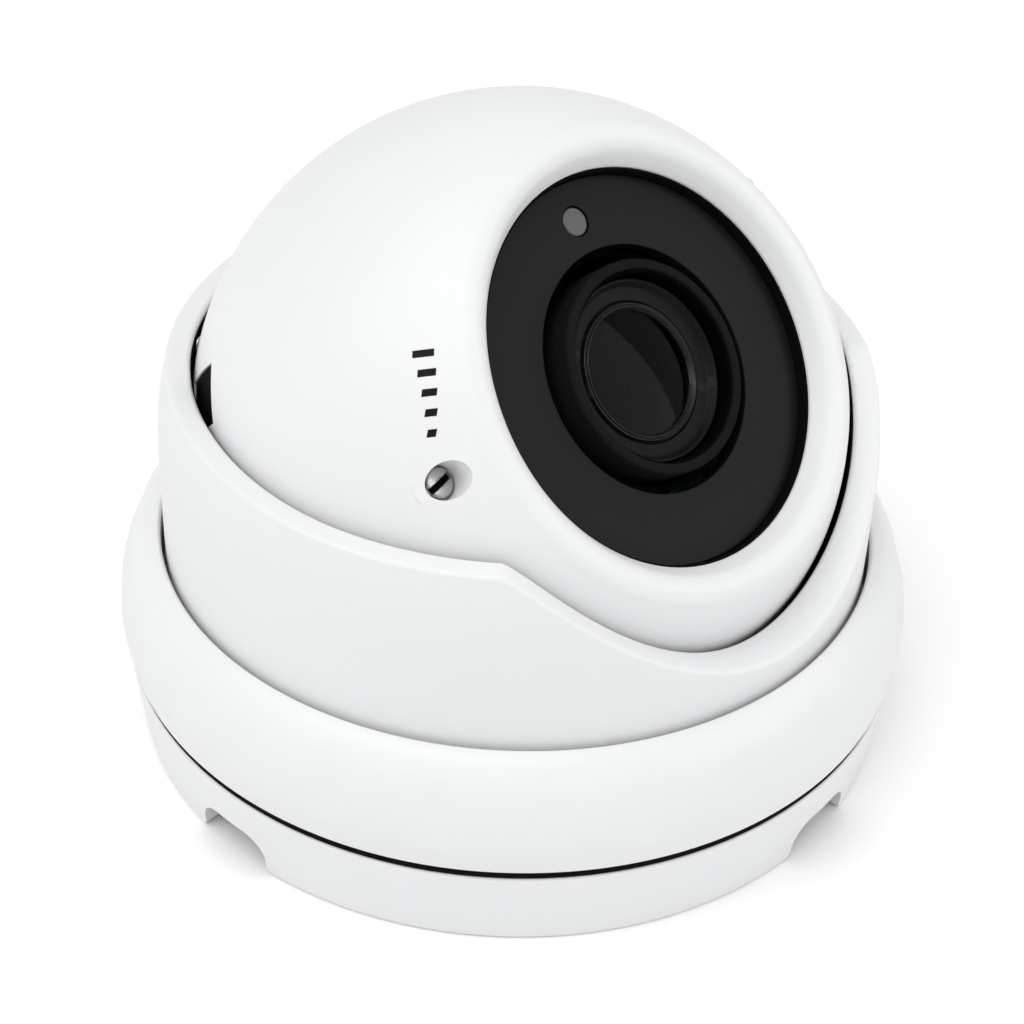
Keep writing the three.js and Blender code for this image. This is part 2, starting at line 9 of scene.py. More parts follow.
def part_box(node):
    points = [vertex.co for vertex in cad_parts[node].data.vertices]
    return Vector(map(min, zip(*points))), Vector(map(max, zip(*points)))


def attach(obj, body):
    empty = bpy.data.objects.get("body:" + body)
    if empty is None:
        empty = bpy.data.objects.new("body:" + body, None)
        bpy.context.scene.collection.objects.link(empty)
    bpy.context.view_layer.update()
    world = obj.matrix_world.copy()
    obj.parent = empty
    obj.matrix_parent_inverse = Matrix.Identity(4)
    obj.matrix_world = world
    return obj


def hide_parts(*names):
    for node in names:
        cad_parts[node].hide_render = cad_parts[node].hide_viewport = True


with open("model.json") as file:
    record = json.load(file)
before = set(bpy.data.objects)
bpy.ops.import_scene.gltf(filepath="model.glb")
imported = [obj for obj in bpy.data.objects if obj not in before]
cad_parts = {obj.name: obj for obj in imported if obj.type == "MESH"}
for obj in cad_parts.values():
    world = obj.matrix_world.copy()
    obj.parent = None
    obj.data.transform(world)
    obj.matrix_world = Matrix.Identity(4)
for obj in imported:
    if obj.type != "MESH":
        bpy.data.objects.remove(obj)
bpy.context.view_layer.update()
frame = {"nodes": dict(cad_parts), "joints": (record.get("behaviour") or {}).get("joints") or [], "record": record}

# Visual model of the dome camera. Places come from the frame's joints and node boxes,
# and the sizes in each piece's dictionary are millimetres.
mm = 0.001
joints = {joint["name"]: joint for joint in frame["joints"]}
ballCentre = Vector(joints["tilt"]["pos_m"])
lensAxis = Vector(joints["zoom_ring_turn"]["axis"]).normalized()
across = Vector((1, 0, 0))
upward = lensAxis.cross(across)

# baseSpace stands on the pan axis; ballSpace has the lens along +Z, X across and Y up
baseSpace = Matrix.Scale(mm, 4)
ballSpace = Matrix((across, upward, lensAxis)).transposed().to_4x4()
ballSpace.translation = ballCentre
ballSpace = ballSpace @ Matrix.Scale(mm, 4)
ballZ = ballCentre.z / mm
ballR = (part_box("ball_front_shell")[1].z - ballCentre.z) / mm


# ---------- outlines ----------

# rounds the corners (r, z, fillet) of a closed outline
def filletOutline(corners, arcSteps=5):
    outline = []
    for i, (r, z, fillet) in enumerate(corners):
        here = Vector((r, z))
        back = Vector(corners[i - 1][:2]) - here
        ahead = Vector(corners[(i + 1) % len(corners)][:2]) - here
        if fillet <= 0:
            outline.append((r, z))
            continue
        half = tan(back.angle(ahead) / 2)
        reach = min(fillet / half, 0.48 * back.length, 0.48 * ahead.length)
        start = here + back.normalized() * reach
        end = here + ahead.normalized() * reach
        for k in range(arcSteps + 1):
            t = k / arcSteps
            point = start * (1 - t) ** 2 + here * 2 * t * (1 - t) + end * t * t
            outline.append((point.x, point.y))
    return outline


# a smooth run of points through a few given ones
def flow(points, stepsEach=6):
    run = []
    padded = [points[0], *points, points[-1]]
    for a, b, c, d in zip(padded, padded[1:], padded[2:], padded[3:]):
        for k in range(stepsEach):
            t = k / stepsEach
            run.append(tuple(
                0.5 * (2 * q + (r - p) * t + (2 * p - 5 * q + 4 * r - s) * t ** 2 + (3 * q - p - 3 * r + s) * t ** 3)
                for p, q, r, s in zip(a, b, c, d)))
    return run + [tuple(points[-1])]


# points on a circle about the axis' origin between two heights
def sphereRun(radius, fromZ, toZ, steps):
    start, end = asin(fromZ / radius), asin(toZ / radius)
    angles = [start + (end - start) * k / steps for k in range(steps + 1)]
    return [(radius * cos(a), radius * sin(a)) for a in angles]


# ---------- meshes ----------

def meshFrom(name, verts, faces):
    mesh = bpy.data.meshes.new(name)
    mesh.from_pydata(verts, [], faces)
    shape = bmesh.new()
    shape.from_mesh(mesh)
    bmesh.ops.remove_doubles(shape, verts=shape.verts, dist=1e-5)
    bmesh.ops.dissolve_degenerate(shape, edges=shape.edges, dist=1e-6)
    bmesh.ops.recalc_face_normals(shape, faces=shape.faces)
    shape.to_mesh(mesh)
    shape.free()
    return mesh


# joins columns of (r, z) points set at even turns about Z; turn 0 is the lens' side, -Y
def columnMesh(name, columns, closed=True):
    verts, faces = [], []
    steps, count = len(columns), len(columns[0])
    for i, column in enumerate(columns):
        turn = 2 * pi * i / steps
        verts += [(r * sin(turn), -r * cos(turn), z) for r, z in column]
    for i in range(steps):
        j = (i + 1) % steps
        for k in range(count if closed else count - 1):
            m = (k + 1) % count
            faces.append((i * count + k, j * count + k, j * count + m, i * count + m))
    return meshFrom(name, verts, faces)


# turns an outline about Z. An open outline starts and ends on the axis
def turnedMesh(name, outline, steps, closed=True):
    return columnMesh(name, [outline] * steps, closed)


def barMesh(name, radius, bottom, top, steps=48, centre=(0, 0)):
    mesh = turnedMesh(name, [(0, bottom), (radius, bottom), (radius, top), (0, top)], steps, closed=False)
    mesh.transform(Matrix.Translation((*centre, 0)))
    return mesh


# pushes an outline in XY from one height to another
def pushedMesh(name, outline, bottom, top):
    count = len(outline)
    verts = [(x, y, z) for z in (bottom, top) for x, y in outline]
    faces = [tuple(range(count)), tuple(range(2 * count - 1, count - 1, -1))]
    faces += [(k, (k + 1) % count, count + (k + 1) % count, count + k) for k in range(count)]
    return meshFrom(name, verts, faces)


def joinMeshes(name, meshes):
    shape = bmesh.new()
    for mesh in meshes:
        shape.from_mesh(mesh)
    joined = bpy.data.meshes.new(name)
    shape.to_mesh(joined)
    shape.free()
    return joined


def linked(name, mesh):
    made = bpy.data.objects.new(name, mesh)
    bpy.context.scene.collection.objects.link(made)
    return made


# the evaluated mesh of an object, which is then removed
def baked(source):
    bpy.context.view_layer.update()
    ready = source.evaluated_get(bpy.context.evaluated_depsgraph_get())
    mesh = bpy.data.meshes.new_from_object(ready)
    mesh.name = source.name
    bpy.data.objects.remove(source)
    return mesh


def combined(mesh, tools, operation="DIFFERENCE"):
    target = linked(mesh.name, mesh)
    tool = linked(mesh.name + "Tool", joinMeshes(mesh.name + "Tool", tools))
    step = target.modifiers.new("combine", "BOOLEAN")
    step.operation, step.solver, step.object = operation, "EXACT", tool
    result = baked(target)
    bpy.data.objects.remove(tool)
    return result


def addPiece(name, mesh, body, slot, space=baseSpace, replaced=(), sharp=32, material=None):
    mesh.transform(space)
    mesh.materials.clear()
    mesh.materials.append(material or finishes[slot])
    mesh.polygons.foreach_set("use_smooth", [True] * len(mesh.polygons))
    mesh.set_sharp_from_angle(angle=radians(sharp))
    piece = linked(name, mesh)
    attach(piece, body)
    if replaced:
        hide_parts(*replaced)
    return piece


# ---------- shared shader groups ----------

def newGroup(name, inputs, outputs):
    group = bpy.data.node_groups.new(name, "ShaderNodeTree")
    for label, kind, value in inputs:
        socket = group.interface.new_socket(label, in_out="INPUT", socket_type=kind)
        socket.default_value = value
    for label, kind in outputs:
        group.interface.new_socket(label, in_out="OUTPUT", socket_type=kind)
    return group, group.nodes.new("NodeGroupInput"), group.nodes.new("NodeGroupOutput")


def mathNode(nodes, operation, *values):
    node = nodes.new("ShaderNodeMath")
    node.operation = operation
    for k, value in enumerate(values):
        if isinstance(value, (int, float)):
            node.inputs[k].default_value = value
        else:
            nodes.id_data.links.new(value, node.inputs[k])
    return node.outputs[0]


# fine skin of a coated or moulded surface: an uneven mask, a roughness and a height
def surfaceGrainGroup():
    group, given, result = newGroup(
        "surfaceGrain",
        [("Grain Per Metre", "NodeSocketFloat", 900.0), ("Cloud Per Metre", "NodeSocketFloat", 40.0),
         ("Roughness", "NodeSocketFloat", 0.4), ("Roughness Spread", "NodeSocketFloat", 0.06)],
        [("Cloud", "NodeSocketFloat"), ("Roughness", "NodeSocketFloat"), ("Height", "NodeSocketFloat")])
    nodes, link = group.nodes, group.links.new
    where = nodes.new("ShaderNodeTexCoord").outputs["Object"]
    cloud, grain, peel = (nodes.new("ShaderNodeTexNoise") for _ in range(3))
    for noise, source, detail in ((cloud, "Cloud Per Metre", 3), (grain, "Grain Per Metre", 3)):
        link(where, noise.inputs["Vector"])
        link(given.outputs[source], noise.inputs["Scale"])
        noise.inputs["Detail"].default_value = detail
    link(where, peel.inputs["Vector"])
    link(mathNode(nodes, "MULTIPLY", given.outputs["Grain Per Metre"], 3.1), peel.inputs["Scale"])
    link(cloud.outputs["Fac"], result.inputs["Cloud"])
    mixed = mathNode(nodes, "MULTIPLY_ADD", peel.outputs["Fac"], 0.35, grain.outputs["Fac"])
    link(mixed, result.inputs["Height"])
    swing = mathNode(nodes, "SUBTRACT", grain.outputs["Fac"], 0.5)
    swing = mathNode(nodes, "MULTIPLY", swing, given.outputs["Roughness Spread"])
    drift = mathNode(nodes, "SUBTRACT", cloud.outputs["Fac"], 0.5)
    drift = mathNode(nodes, "MULTIPLY", drift, given.outputs["Roughness Spread"])
    total = mathNode(nodes, "ADD", swing, drift)
    total = mathNode(nodes, "MULTIPLY_ADD", total, 2.0, given.outputs["Roughness"])
    link(total, result.inputs["Roughness"])
    return group


# a painted highlight: a lighter tone, in speckles, where the surface bends outward
def edgeToneGroup():
    group, given, result = newGroup(
        "edgeHighlight",
        [("Start", "NodeSocketFloat", 0.52), ("Full", "NodeSocketFloat", 0.62)],
        [("Mask", "NodeSocketFloat")])
    nodes, link = group.nodes, group.links.new
    bend = nodes.new("ShaderNodeNewGeometry").outputs["Pointiness"]
    spots = nodes.new("ShaderNodeTexNoise")
    spots.inputs["Scale"].default_value = 420
    link(nodes.new("ShaderNodeTexCoord").outputs["Object"], spots.inputs["Vector"])
    ramp = nodes.new("ShaderNodeMapRange")
    link(bend, ramp.inputs["Value"])
    link(given.outputs["Start"], ramp.inputs["From Min"])
    link(given.outputs["Full"], ramp.inputs["From Max"])
    link(mathNode(nodes, "MULTIPLY", ramp.outputs["Result"], spots.outputs["Fac"]), result.inputs["Mask"])
    return group


# fine lines of a turned or brushed metal
def brushLinesGroup():
    group, given, result = newGroup(
        "brushLines",
        [("Lines Per Metre", "NodeSocketFloat", 5000.0), ("Stretch", "NodeSocketVector", (1.0, 0.06, 1.0))],
        [("Lines", "NodeSocketFloat")])
    nodes, link = group.nodes, group.links.new
    stretch = nodes.new("ShaderNodeVectorMath")
    stretch.operation = "MULTIPLY"
    link(nodes.new("ShaderNodeTexCoord").outputs["Object"], stretch.inputs[0])
    link(given.outputs["Stretch"], stretch.inputs[1])
    lines = nodes.new("ShaderNodeTexNoise")
    link(stretch.outputs[0], lines.inputs["Vector"])
    link(given.outputs["Lines Per Metre"], lines.inputs["Scale"])
    lines.inputs["Detail"].default_value = 4
    link(lines.outputs["Fac"], result.inputs["Lines"])
    return group


surfaceGrain = surfaceGrainGroup()
edgeHighlight = edgeToneGroup()
brushLines = brushLinesGroup()


# ---------- finishes ----------

def placeGroup(nodes, group, values):
    node = nodes.new("ShaderNodeGroup")
    node.node_tree = group
    for label, value in values.items():
        node.inputs[label].default_value = value
    return node


def mixColor(nodes, factor, first, second):
    mix = nodes.new("ShaderNodeMix")
    mix.data_type = "RGBA"
    nodes.id_data.links.new(factor, mix.inputs["Factor"])
    for socket, value in ((mix.inputs["A"], first), (mix.inputs["B"], second)):
        if isinstance(value, tuple):
            socket.default_value = (*value, 1)
        else:
            nodes.id_data.links.new(value, socket)
    return mix.outputs["Result"]


# a coated, moulded or turned finish from one dictionary
def makeFinish(name, look):
    material = bpy.data.materials.new(name)
    material.use_nodes = True
    nodes, link = material.node_tree.nodes, material.node_tree.links.new
    shader = nodes["Principled BSDF"]
    grain = placeGroup(nodes, surfaceGrain, {
        "Grain Per Metre": look["grain"], "Cloud Per Metre": look["cloud"],
        "Roughness": look["roughness"], "Roughness Spread": look["spread"]})
    color = mixColor(nodes, grain.outputs["Cloud"], look["color"], look["tone"])
    # the edge colour is a painted highlight, lighter where the surface bends outward
    if "edge" in look:
        edge = placeGroup(nodes, edgeHighlight, {"Start": look["edgeStart"], "Full": look["edgeFull"]})
        color = mixColor(nodes, edge.outputs["Mask"], color, look["edge"])
    link(color, shader.inputs["Base Color"])
    height, rough = grain.outputs["Height"], grain.outputs["Roughness"]
    if "lines" in look:
        lines = placeGroup(nodes, brushLines, {"Lines Per Metre": look["lines"], "Stretch": look["stretch"]})
        height = mathNode(nodes, "MULTIPLY_ADD", lines.outputs["Lines"], 1.5, height)
        rough = mathNode(nodes, "MULTIPLY_ADD", lines.outputs["Lines"], 0.12, rough)
    link(rough, shader.inputs["Roughness"])
    bump = nodes.new("ShaderNodeBump")
    bump.inputs["Strength"].default_value = look["bump"]
    bump.inputs["Distance"].default_value = look["depth"] * mm
    link(height, bump.inputs["Height"])
    link(bump.outputs["Normal"], shader.inputs["Normal"])
    shader.inputs["Metallic"].default_value = look.get("metallic", 0.0)
    shader.inputs["Specular IOR Level"].default_value = look.get("specular", 0.5)
    shader.inputs["Coat Weight"].default_value = look.get("coat", 0.0)
    shader.inputs["Coat Roughness"].default_value = 0.1
    return material


# each look's edge colour is a painted highlight on outward bends
looks = {
    "white_paint": dict(
        color=(0.735, 0.742, 0.748), tone=(0.765, 0.77, 0.775), roughness=0.42, spread=0.05, grain=1500, cloud=30,
        bump=0.2, depth=0.02, edge=(0.8, 0.802, 0.806), edgeStart=0.52, edgeFull=0.7, specular=0.4),
    "black_rubber": dict(
        color=(0.002, 0.002, 0.002), tone=(0.004, 0.004, 0.004), roughness=0.75, spread=0.1, grain=2200, cloud=70,
        bump=0.3, depth=0.03, specular=0.04),
    "natural_plastic": dict(
        color=(0.68, 0.66, 0.60), tone=(0.74, 0.72, 0.67), roughness=0.48, spread=0.06, grain=1800, cloud=60,
        bump=0.15, depth=0.02),
    "steel": dict(
        color=(0.55, 0.545, 0.53), tone=(0.62, 0.615, 0.60), roughness=0.24, spread=0.08, grain=2600, cloud=200,
        bump=0.2, depth=0.015, metallic=1.0, lines=9000, stretch=(1.0, 0.08, 1.0), edge=(0.75, 0.75, 0.74),
        edgeStart=0.55, edgeFull=0.75),
    "dark_pane": dict(
        color=(0.0075, 0.0075, 0.008), tone=(0.009, 0.009, 0.0095), roughness=0.34, spread=0.03, grain=1200,
        cloud=25, bump=0.03, depth=0.01, specular=0.1),
    "grey_glass": dict(
        color=(0.075, 0.075, 0.077), tone=(0.095, 0.095, 0.098), roughness=0.3, spread=0.05, grain=3000, cloud=300,
        bump=0.05, depth=0.01, specular=0.4),
    "black_plastic": dict(
        color=(0.0045, 0.0045, 0.005), tone=(0.0065, 0.0065, 0.007), roughness=0.46, spread=0.08, grain=2400,
        cloud=90, bump=0.18, depth=0.02, specular=0.12, edge=(0.02, 0.02, 0.021), edgeStart=0.52, edgeFull=0.6),
    "led_epoxy": dict(
        color=(0.012, 0.008, 0.016), tone=(0.02, 0.012, 0.026), roughness=0.1, spread=0.04, grain=900, cloud=150,
        bump=0.05, depth=0.01, coat=0.6),
    "circuit_board": dict(
        color=(0.008, 0.075, 0.035), tone=(0.02, 0.13, 0.065), roughness=0.38, spread=0.08, grain=1100, cloud=450,
        bump=0.3, depth=0.03, coat=0.3),
    "brass": dict(
        color=(0.52, 0.36, 0.13), tone=(0.6, 0.44, 0.18), roughness=0.26, spread=0.08, grain=2000, cloud=150,
        bump=0.2, depth=0.015, metallic=1.0, lines=6000, stretch=(0.1, 0.1, 1.0)),
}


# coated optical glass: clear, with a faint warm coating that changes slowly over it
def makeLensGlass():
    material = bpy.data.materials.new("coatedLensGlass")
    material.use_nodes = True
    nodes, link = material.node_tree.nodes, material.node_tree.links.new
    shader = nodes["Principled BSDF"]
    grain = placeGroup(nodes, surfaceGrain, {
        "Grain Per Metre": 60, "Cloud Per Metre": 60, "Roughness": 0.02, "Roughness Spread": 0.002})
    color = mixColor(nodes, grain.outputs["Cloud"], (0.09, 0.06, 0.063), (0.11, 0.075, 0.078))
    link(color, shader.inputs["Base Color"])
    link(grain.outputs["Roughness"], shader.inputs["Roughness"])
    shader.inputs["Transmission Weight"].default_value = 1.0
    shader.inputs["IOR"].default_value = 1.17
    return material


finishes = {slot: makeFinish(slot + "Finish", look) for slot, look in looks.items()}
finishes["lens_glass"] = makeLensGlass()
print("finishes made")


# ---------- geometry node trees ----------

def newTree(name, inputs):
    tree = bpy.data.node_groups.new(name, "GeometryNodeTree")
    tree.interface.new_socket("Geometry", in_out="INPUT", socket_type="NodeSocketGeometry")
    for label, kind, value in inputs:
        socket = tree.interface.new_socket(label, in_out="INPUT", socket_type=kind)
        if value is not None:
            socket.default_value = value
    tree.interface.new_socket("Geometry", in_out="OUTPUT", socket_type="NodeSocketGeometry")
    return tree, tree.nodes.new("NodeGroupInput"), tree.nodes.new("NodeGroupOutput")


# ends a tree with Realize Instances and Set Material
def closeTree(tree, given, result, geometry):
    realize = tree.nodes.new("GeometryNodeRealizeInstances")
    paint = tree.nodes.new("GeometryNodeSetMaterial")
    tree.links.new(geometry, realize.inputs["Geometry"])
    tree.links.new(realize.outputs["Geometry"], paint.inputs["Geometry"])
    tree.links.new(given.outputs["Material"], paint.inputs["Material"])
    tree.links.new(paint.outputs["Geometry"], result.inputs["Geometry"])


# runs a tree on a mesh and returns the plain result
def grown(mesh, tree, values):
    holder = linked(mesh.name, mesh)
    step = holder.modifiers.new("grow", "NODES")
    step.node_group = tree
    sockets = {item.name: item.identifier for item in tree.interface.items_tree if item.in_out == "INPUT"}
    for label, value in values.items():
        step[sockets[label]] = value
    return baked(holder)


# copies of one mesh standing on a circle about Z
def ringOfCopiesTree():
    tree, given, result = newTree("ringOfCopies", [
        ("Count", "NodeSocketInt", 4), ("Ring Radius", "NodeSocketFloat", 1.0),
        ("First Angle", "NodeSocketFloat", 0.0), ("Material", "NodeSocketMaterial", None)])
    nodes, link = tree.nodes, tree.links.new
    circle = nodes.new("GeometryNodeMeshCircle")
    link(given.outputs["Count"], circle.inputs["Vertices"])
    link(given.outputs["Ring Radius"], circle.inputs["Radius"])
    turn = nodes.new("GeometryNodeTransform")
    spin = nodes.new("ShaderNodeCombineXYZ")
    link(given.outputs["First Angle"], spin.inputs["Z"])
    link(circle.outputs["Mesh"], turn.inputs["Geometry"])
    link(spin.outputs["Vector"], turn.inputs["Rotation"])
    place = nodes.new("GeometryNodeInstanceOnPoints")
    link(turn.outputs["Geometry"], place.inputs["Points"])
    link(given.outputs["Geometry"], place.inputs["Instance"])
    closeTree(tree, given, result, place.outputs["Instances"])
    return tree


# shallow finger dimples pressed into a turned ring at even steps
def fingerDimplesTree():
    tree, given, result = newTree("fingerDimples", [
        ("Count", "NodeSocketFloat", 24.0), ("Phase", "NodeSocketFloat", 0.0), ("Depth", "NodeSocketFloat", 0.3),
        ("Low", "NodeSocketFloat", 0.0), ("High", "NodeSocketFloat", 1.0), ("Sharpness", "NodeSocketFloat", 3.0),
        ("Inner Radius", "NodeSocketFloat", 1.0), ("Material", "NodeSocketMaterial", None)])
    nodes, link = tree.nodes, tree.links.new
    place = nodes.new("ShaderNodeSeparateXYZ")
    link(nodes.new("GeometryNodeInputPosition").outputs["Position"], place.inputs["Vector"])
    x, y, z = (place.outputs[k] for k in "XYZ")
    radius = mathNode(nodes, "SQRT", mathNode(nodes, "MULTIPLY_ADD", x, x, mathNode(nodes, "MULTIPLY", y, y)))
    turn = mathNode(nodes, "ARCTAN2", x, mathNode(nodes, "MULTIPLY", y, -1.0))
    turn = mathNode(nodes, "SUBTRACT", turn, given.outputs["Phase"])
    wave = mathNode(nodes, "COSINE", mathNode(nodes, "MULTIPLY", turn, given.outputs["Count"]))
    wave = mathNode(nodes, "MULTIPLY_ADD", wave, 0.5, 0.5)
    wave = mathNode(nodes, "POWER", wave, given.outputs["Sharpness"])
    span = nodes.new("ShaderNodeMapRange")
    span.interpolation_type = "LINEAR"
    link(z, span.inputs["Value"])
    link(given.outputs["Low"], span.inputs["From Min"])
    link(given.outputs["High"], span.inputs["From Max"])
    rise = mathNode(nodes, "SINE", mathNode(nodes, "MULTIPLY", span.outputs["Result"], pi))
    outer = mathNode(nodes, "GREATER_THAN", radius, given.outputs["Inner Radius"])
    press = mathNode(nodes, "MULTIPLY", mathNode(nodes, "MULTIPLY", wave, rise), given.outputs["Depth"])
    press = mathNode(nodes, "MULTIPLY", press, outer)
    shift = mathNode(nodes, "DIVIDE", mathNode(nodes, "MULTIPLY", press, -1.0), radius)
    offset = nodes.new("ShaderNodeCombineXYZ")
    link(mathNode(nodes, "MULTIPLY", x, shift), offset.inputs["X"])
    link(mathNode(nodes, "MULTIPLY", y, shift), offset.inputs["Y"])
    move = nodes.new("GeometryNodeSetPosition")
    link(given.outputs["Geometry"], move.inputs["Geometry"])
    link(offset.outputs["Vector"], move.inputs["Offset"])
    closeTree(tree, given, result, move.outputs["Geometry"])
    return tree


# a row of bars that grow in length, laid on a ball about the origin
def growingBarsTree():
    tree, given, result = newTree("growingBars", [
        ("Count", "NodeSocketInt", 4), ("Start", "NodeSocketVector", (0, 0, 0)),
        ("Step", "NodeSocketVector", (0, 1, 0)), ("First Length", "NodeSocketFloat", 1.0),
        ("Growth", "NodeSocketFloat", 1.0), ("Thickness", "NodeSocketFloat", 1.0), ("Tilt", "NodeSocketFloat", 0.0),
        ("Ball Radius", "NodeSocketFloat", 10.0), ("Material", "NodeSocketMaterial", None)])
    nodes, link = tree.nodes, tree.links.new
    row = nodes.new("GeometryNodeMeshLine")
    link(given.outputs["Count"], row.inputs["Count"])
    link(given.outputs["Start"], row.inputs["Start Location"])
    link(given.outputs["Step"], row.inputs["Offset"])
    strip = nodes.new("GeometryNodeMeshGrid")
    strip.inputs["Vertices X"].default_value = 14
    strip.inputs["Vertices Y"].default_value = 6
    number = nodes.new("GeometryNodeInputIndex").outputs["Index"]
    length = mathNode(nodes, "MULTIPLY_ADD", number, given.outputs["Growth"], given.outputs["First Length"])
    size = nodes.new("ShaderNodeCombineXYZ")
    link(length, size.inputs["X"])
    link(given.outputs["Thickness"], size.inputs["Y"])
    spin = nodes.new("ShaderNodeCombineXYZ")
    link(given.outputs["Tilt"], spin.inputs["Z"])
    place = nodes.new("GeometryNodeInstanceOnPoints")
    link(row.outputs["Mesh"], place.inputs["Points"])
    link(strip.outputs["Mesh"], place.inputs["Instance"])
    link(spin.outputs["Vector"], place.inputs["Rotation"])
    link(size.outputs["Vector"], place.inputs["Scale"])
    real = nodes.new("GeometryNodeRealizeInstances")
    link(place.outputs["Instances"], real.inputs["Geometry"])
    spot = nodes.new("ShaderNodeSeparateXYZ")
    link(nodes.new("GeometryNodeInputPosition").outputs["Position"], spot.inputs["Vector"])
    x, y = spot.outputs["X"], spot.outputs["Y"]
    flat = mathNode(nodes, "MULTIPLY_ADD", x, x, mathNode(nodes, "MULTIPLY", y, y))
    full = mathNode(nodes, "MULTIPLY", given.outputs["Ball Radius"], given.outputs["Ball Radius"])
    lift = nodes.new("ShaderNodeCombineXYZ")
    link(x, lift.inputs["X"])
    link(y, lift.inputs["Y"])
    link(mathNode(nodes, "SQRT", mathNode(nodes, "SUBTRACT", full, flat)), lift.inputs["Z"])
    drape = nodes.new("GeometryNodeSetPosition")
    link(real.outputs["Geometry"], drape.inputs["Geometry"])
    link(lift.outputs["Vector"], drape.inputs["Position"])
    closeTree(tree, given, result, drape.outputs["Geometry"])
    return tree


ringOfCopies = ringOfCopiesTree()
fingerDimples = fingerDimplesTree()
growingBars = growingBarsTree()
print("geometry trees made")


# ---------- base ----------

base = dict(footR=58.8, topR=60.15, deckTop=13.0, deckBottom=9.6, deckHoleR=35.5, wall=3.0, collarR=57.2,
            collarInnerR=50.6, collarTop=19.0, bossRing=44.5, bossR=4.6, bossHoleR=2.3, bossCount=3,
            front=-42.8, notchHalfAngle=47.2, notchWidth=13.4, notchHeight=6.4, notchCorner=3.9, notchFlare=1.7)
seal = dict(innerR=57.7, outerR=59.9, bottom=13.1, top=14.42)


# the notch's outline: rounded above, flared where it meets the foot
def notchOutline():
    half, height, corner, flare = (base[k] for k in ("notchWidth", "notchHeight", "notchCorner", "notchFlare"))
    half = half / 2
    right = [(half + flare + 3, -3), (half + flare + 3, 0.02)]
    right += [(half + flare - flare * sin(t), 0.02 + flare - flare * cos(t))
              for t in (radians(a) for a in range(0, 91, 15))]
    right += [(half - corner + corner * cos(t), height - corner + corner * sin(t))
              for t in (radians(a) for a in range(0, 91, 15))]
    return right + [(-x, y) for x, y in reversed(right)]


def buildBase():
    foot, top = base["footR"], base["topR"]
    inner = foot - base["wall"]
    shell = turnedMesh("baseShell", filletOutline([
        (inner, 0, 0.4), (foot, 0, 0.9), (top, base["deckTop"], 0.6), (base["collarR"], base["deckTop"], 0.3),
        (base["collarR"], base["collarTop"], 0.4), (base["collarInnerR"], base["collarTop"], 0.4),
        (base["collarInnerR"], base["deckTop"], 0.4), (base["deckHoleR"], base["deckTop"], 0.6),
        (base["deckHoleR"], base["deckBottom"], 0.6), (inner, base["deckBottom"], 1.0)]), 240)
    bosses, holes = [], []
    for k in range(base["bossCount"]):
        turn = radians(base["front"] + 360 * k / base["bossCount"])
        centre = (base["bossRing"] * sin(turn), -base["bossRing"] * cos(turn))
        boss = turnedMesh("boss", [(0, 0), (base["bossR"] - 0.3, 0), (base["bossR"], 0.3),
                                   (base["bossR"], base["deckTop"] - 1), (0, base["deckTop"] - 1)], 48, closed=False)
        boss.transform(Matrix.Translation((*centre, 0)))
        bosses.append(boss)
        holes.append(barMesh("bossHole", base["bossHoleR"], -1, base["deckTop"] + 1, 40, centre))
    shell = combined(shell, bosses, "UNION")
    half = base["notchHalfAngle"]
    for side in (-half, half, 180 - half, 180 + half):
        cutter = pushedMesh("notch", notchOutline(), foot - 2 * base["wall"], foot + 4)
        # the outline stands up in XZ and points out along -Y before it is turned to its place
        cutter.transform(Matrix.Rotation(pi / 2, 4, "X"))
        cutter.transform(Matrix.Rotation(radians(base["front"] + side), 4, "Z"))
        holes.append(cutter)
    shell = combined(shell, holes)
    addPiece("baseShell", shell, "base", "white_paint", replaced=["mounting_base"])
    band = turnedMesh("baseSeal", filletOutline([
        (seal["innerR"], seal["bottom"], 0.1), (seal["outerR"], seal["bottom"], 0.3),
        (seal["outerR"], seal["top"], 0.3), (seal["innerR"], seal["top"], 0.1)]), 200)
    addPiece("baseSeal", band, "base", "black_rubber", replaced=["base_seal"])


buildBase()
print("base made")


# ---------- lock ring ----------

lockRing = dict(bottom=14.5, boreR=57.6, shelf=24.4, lipR=54.3,
                bulge=[(60.35, 15.3), (60.9, 18.0), (60.95, 21.0), (60.3, 24.8), (58.9, 28.6), (56.9, 31.2),
                       (55.5, 32.1)],
                dimples=25, dimplePhase=-100.5, dimpleDepth=0.34, dimpleLow=18.5, dimpleHigh=31.0)


def buildLockRing():
    bulge = flow(lockRing["bulge"], 6)
    lip = filletOutline([
        (55.5, 32.1, 0), (54.7, 32.3, 0.5), (lockRing["lipR"], 31.7, 0.4), (lockRing["lipR"], lockRing["shelf"], 0.2),
        (lockRing["boreR"], lockRing["shelf"], 0.2), (lockRing["boreR"], lockRing["bottom"], 0.2),
        (60.3, lockRing["bottom"], 0.5), (60.35, 15.3, 0)])
    shell = turnedMesh("lockRing", bulge[:-1] + lip[:-1], 600)
    shell = grown(shell, fingerDimples, {
        "Count": float(lockRing["dimples"]), "Phase": radians(lockRing["dimplePhase"]),
        "Depth": lockRing["dimpleDepth"], "Low": lockRing["dimpleLow"], "High": lockRing["dimpleHigh"],
        "Sharpness": 3.0, "Inner Radius": lockRing["boreR"] - 1.0, "Material": finishes["white_paint"]})
    addPiece("lockRing", shell, "lock_ring", "white_paint", replaced=["lock_ring"])


buildLockRing()
print("lock ring made")


# ---------- saddle ----------

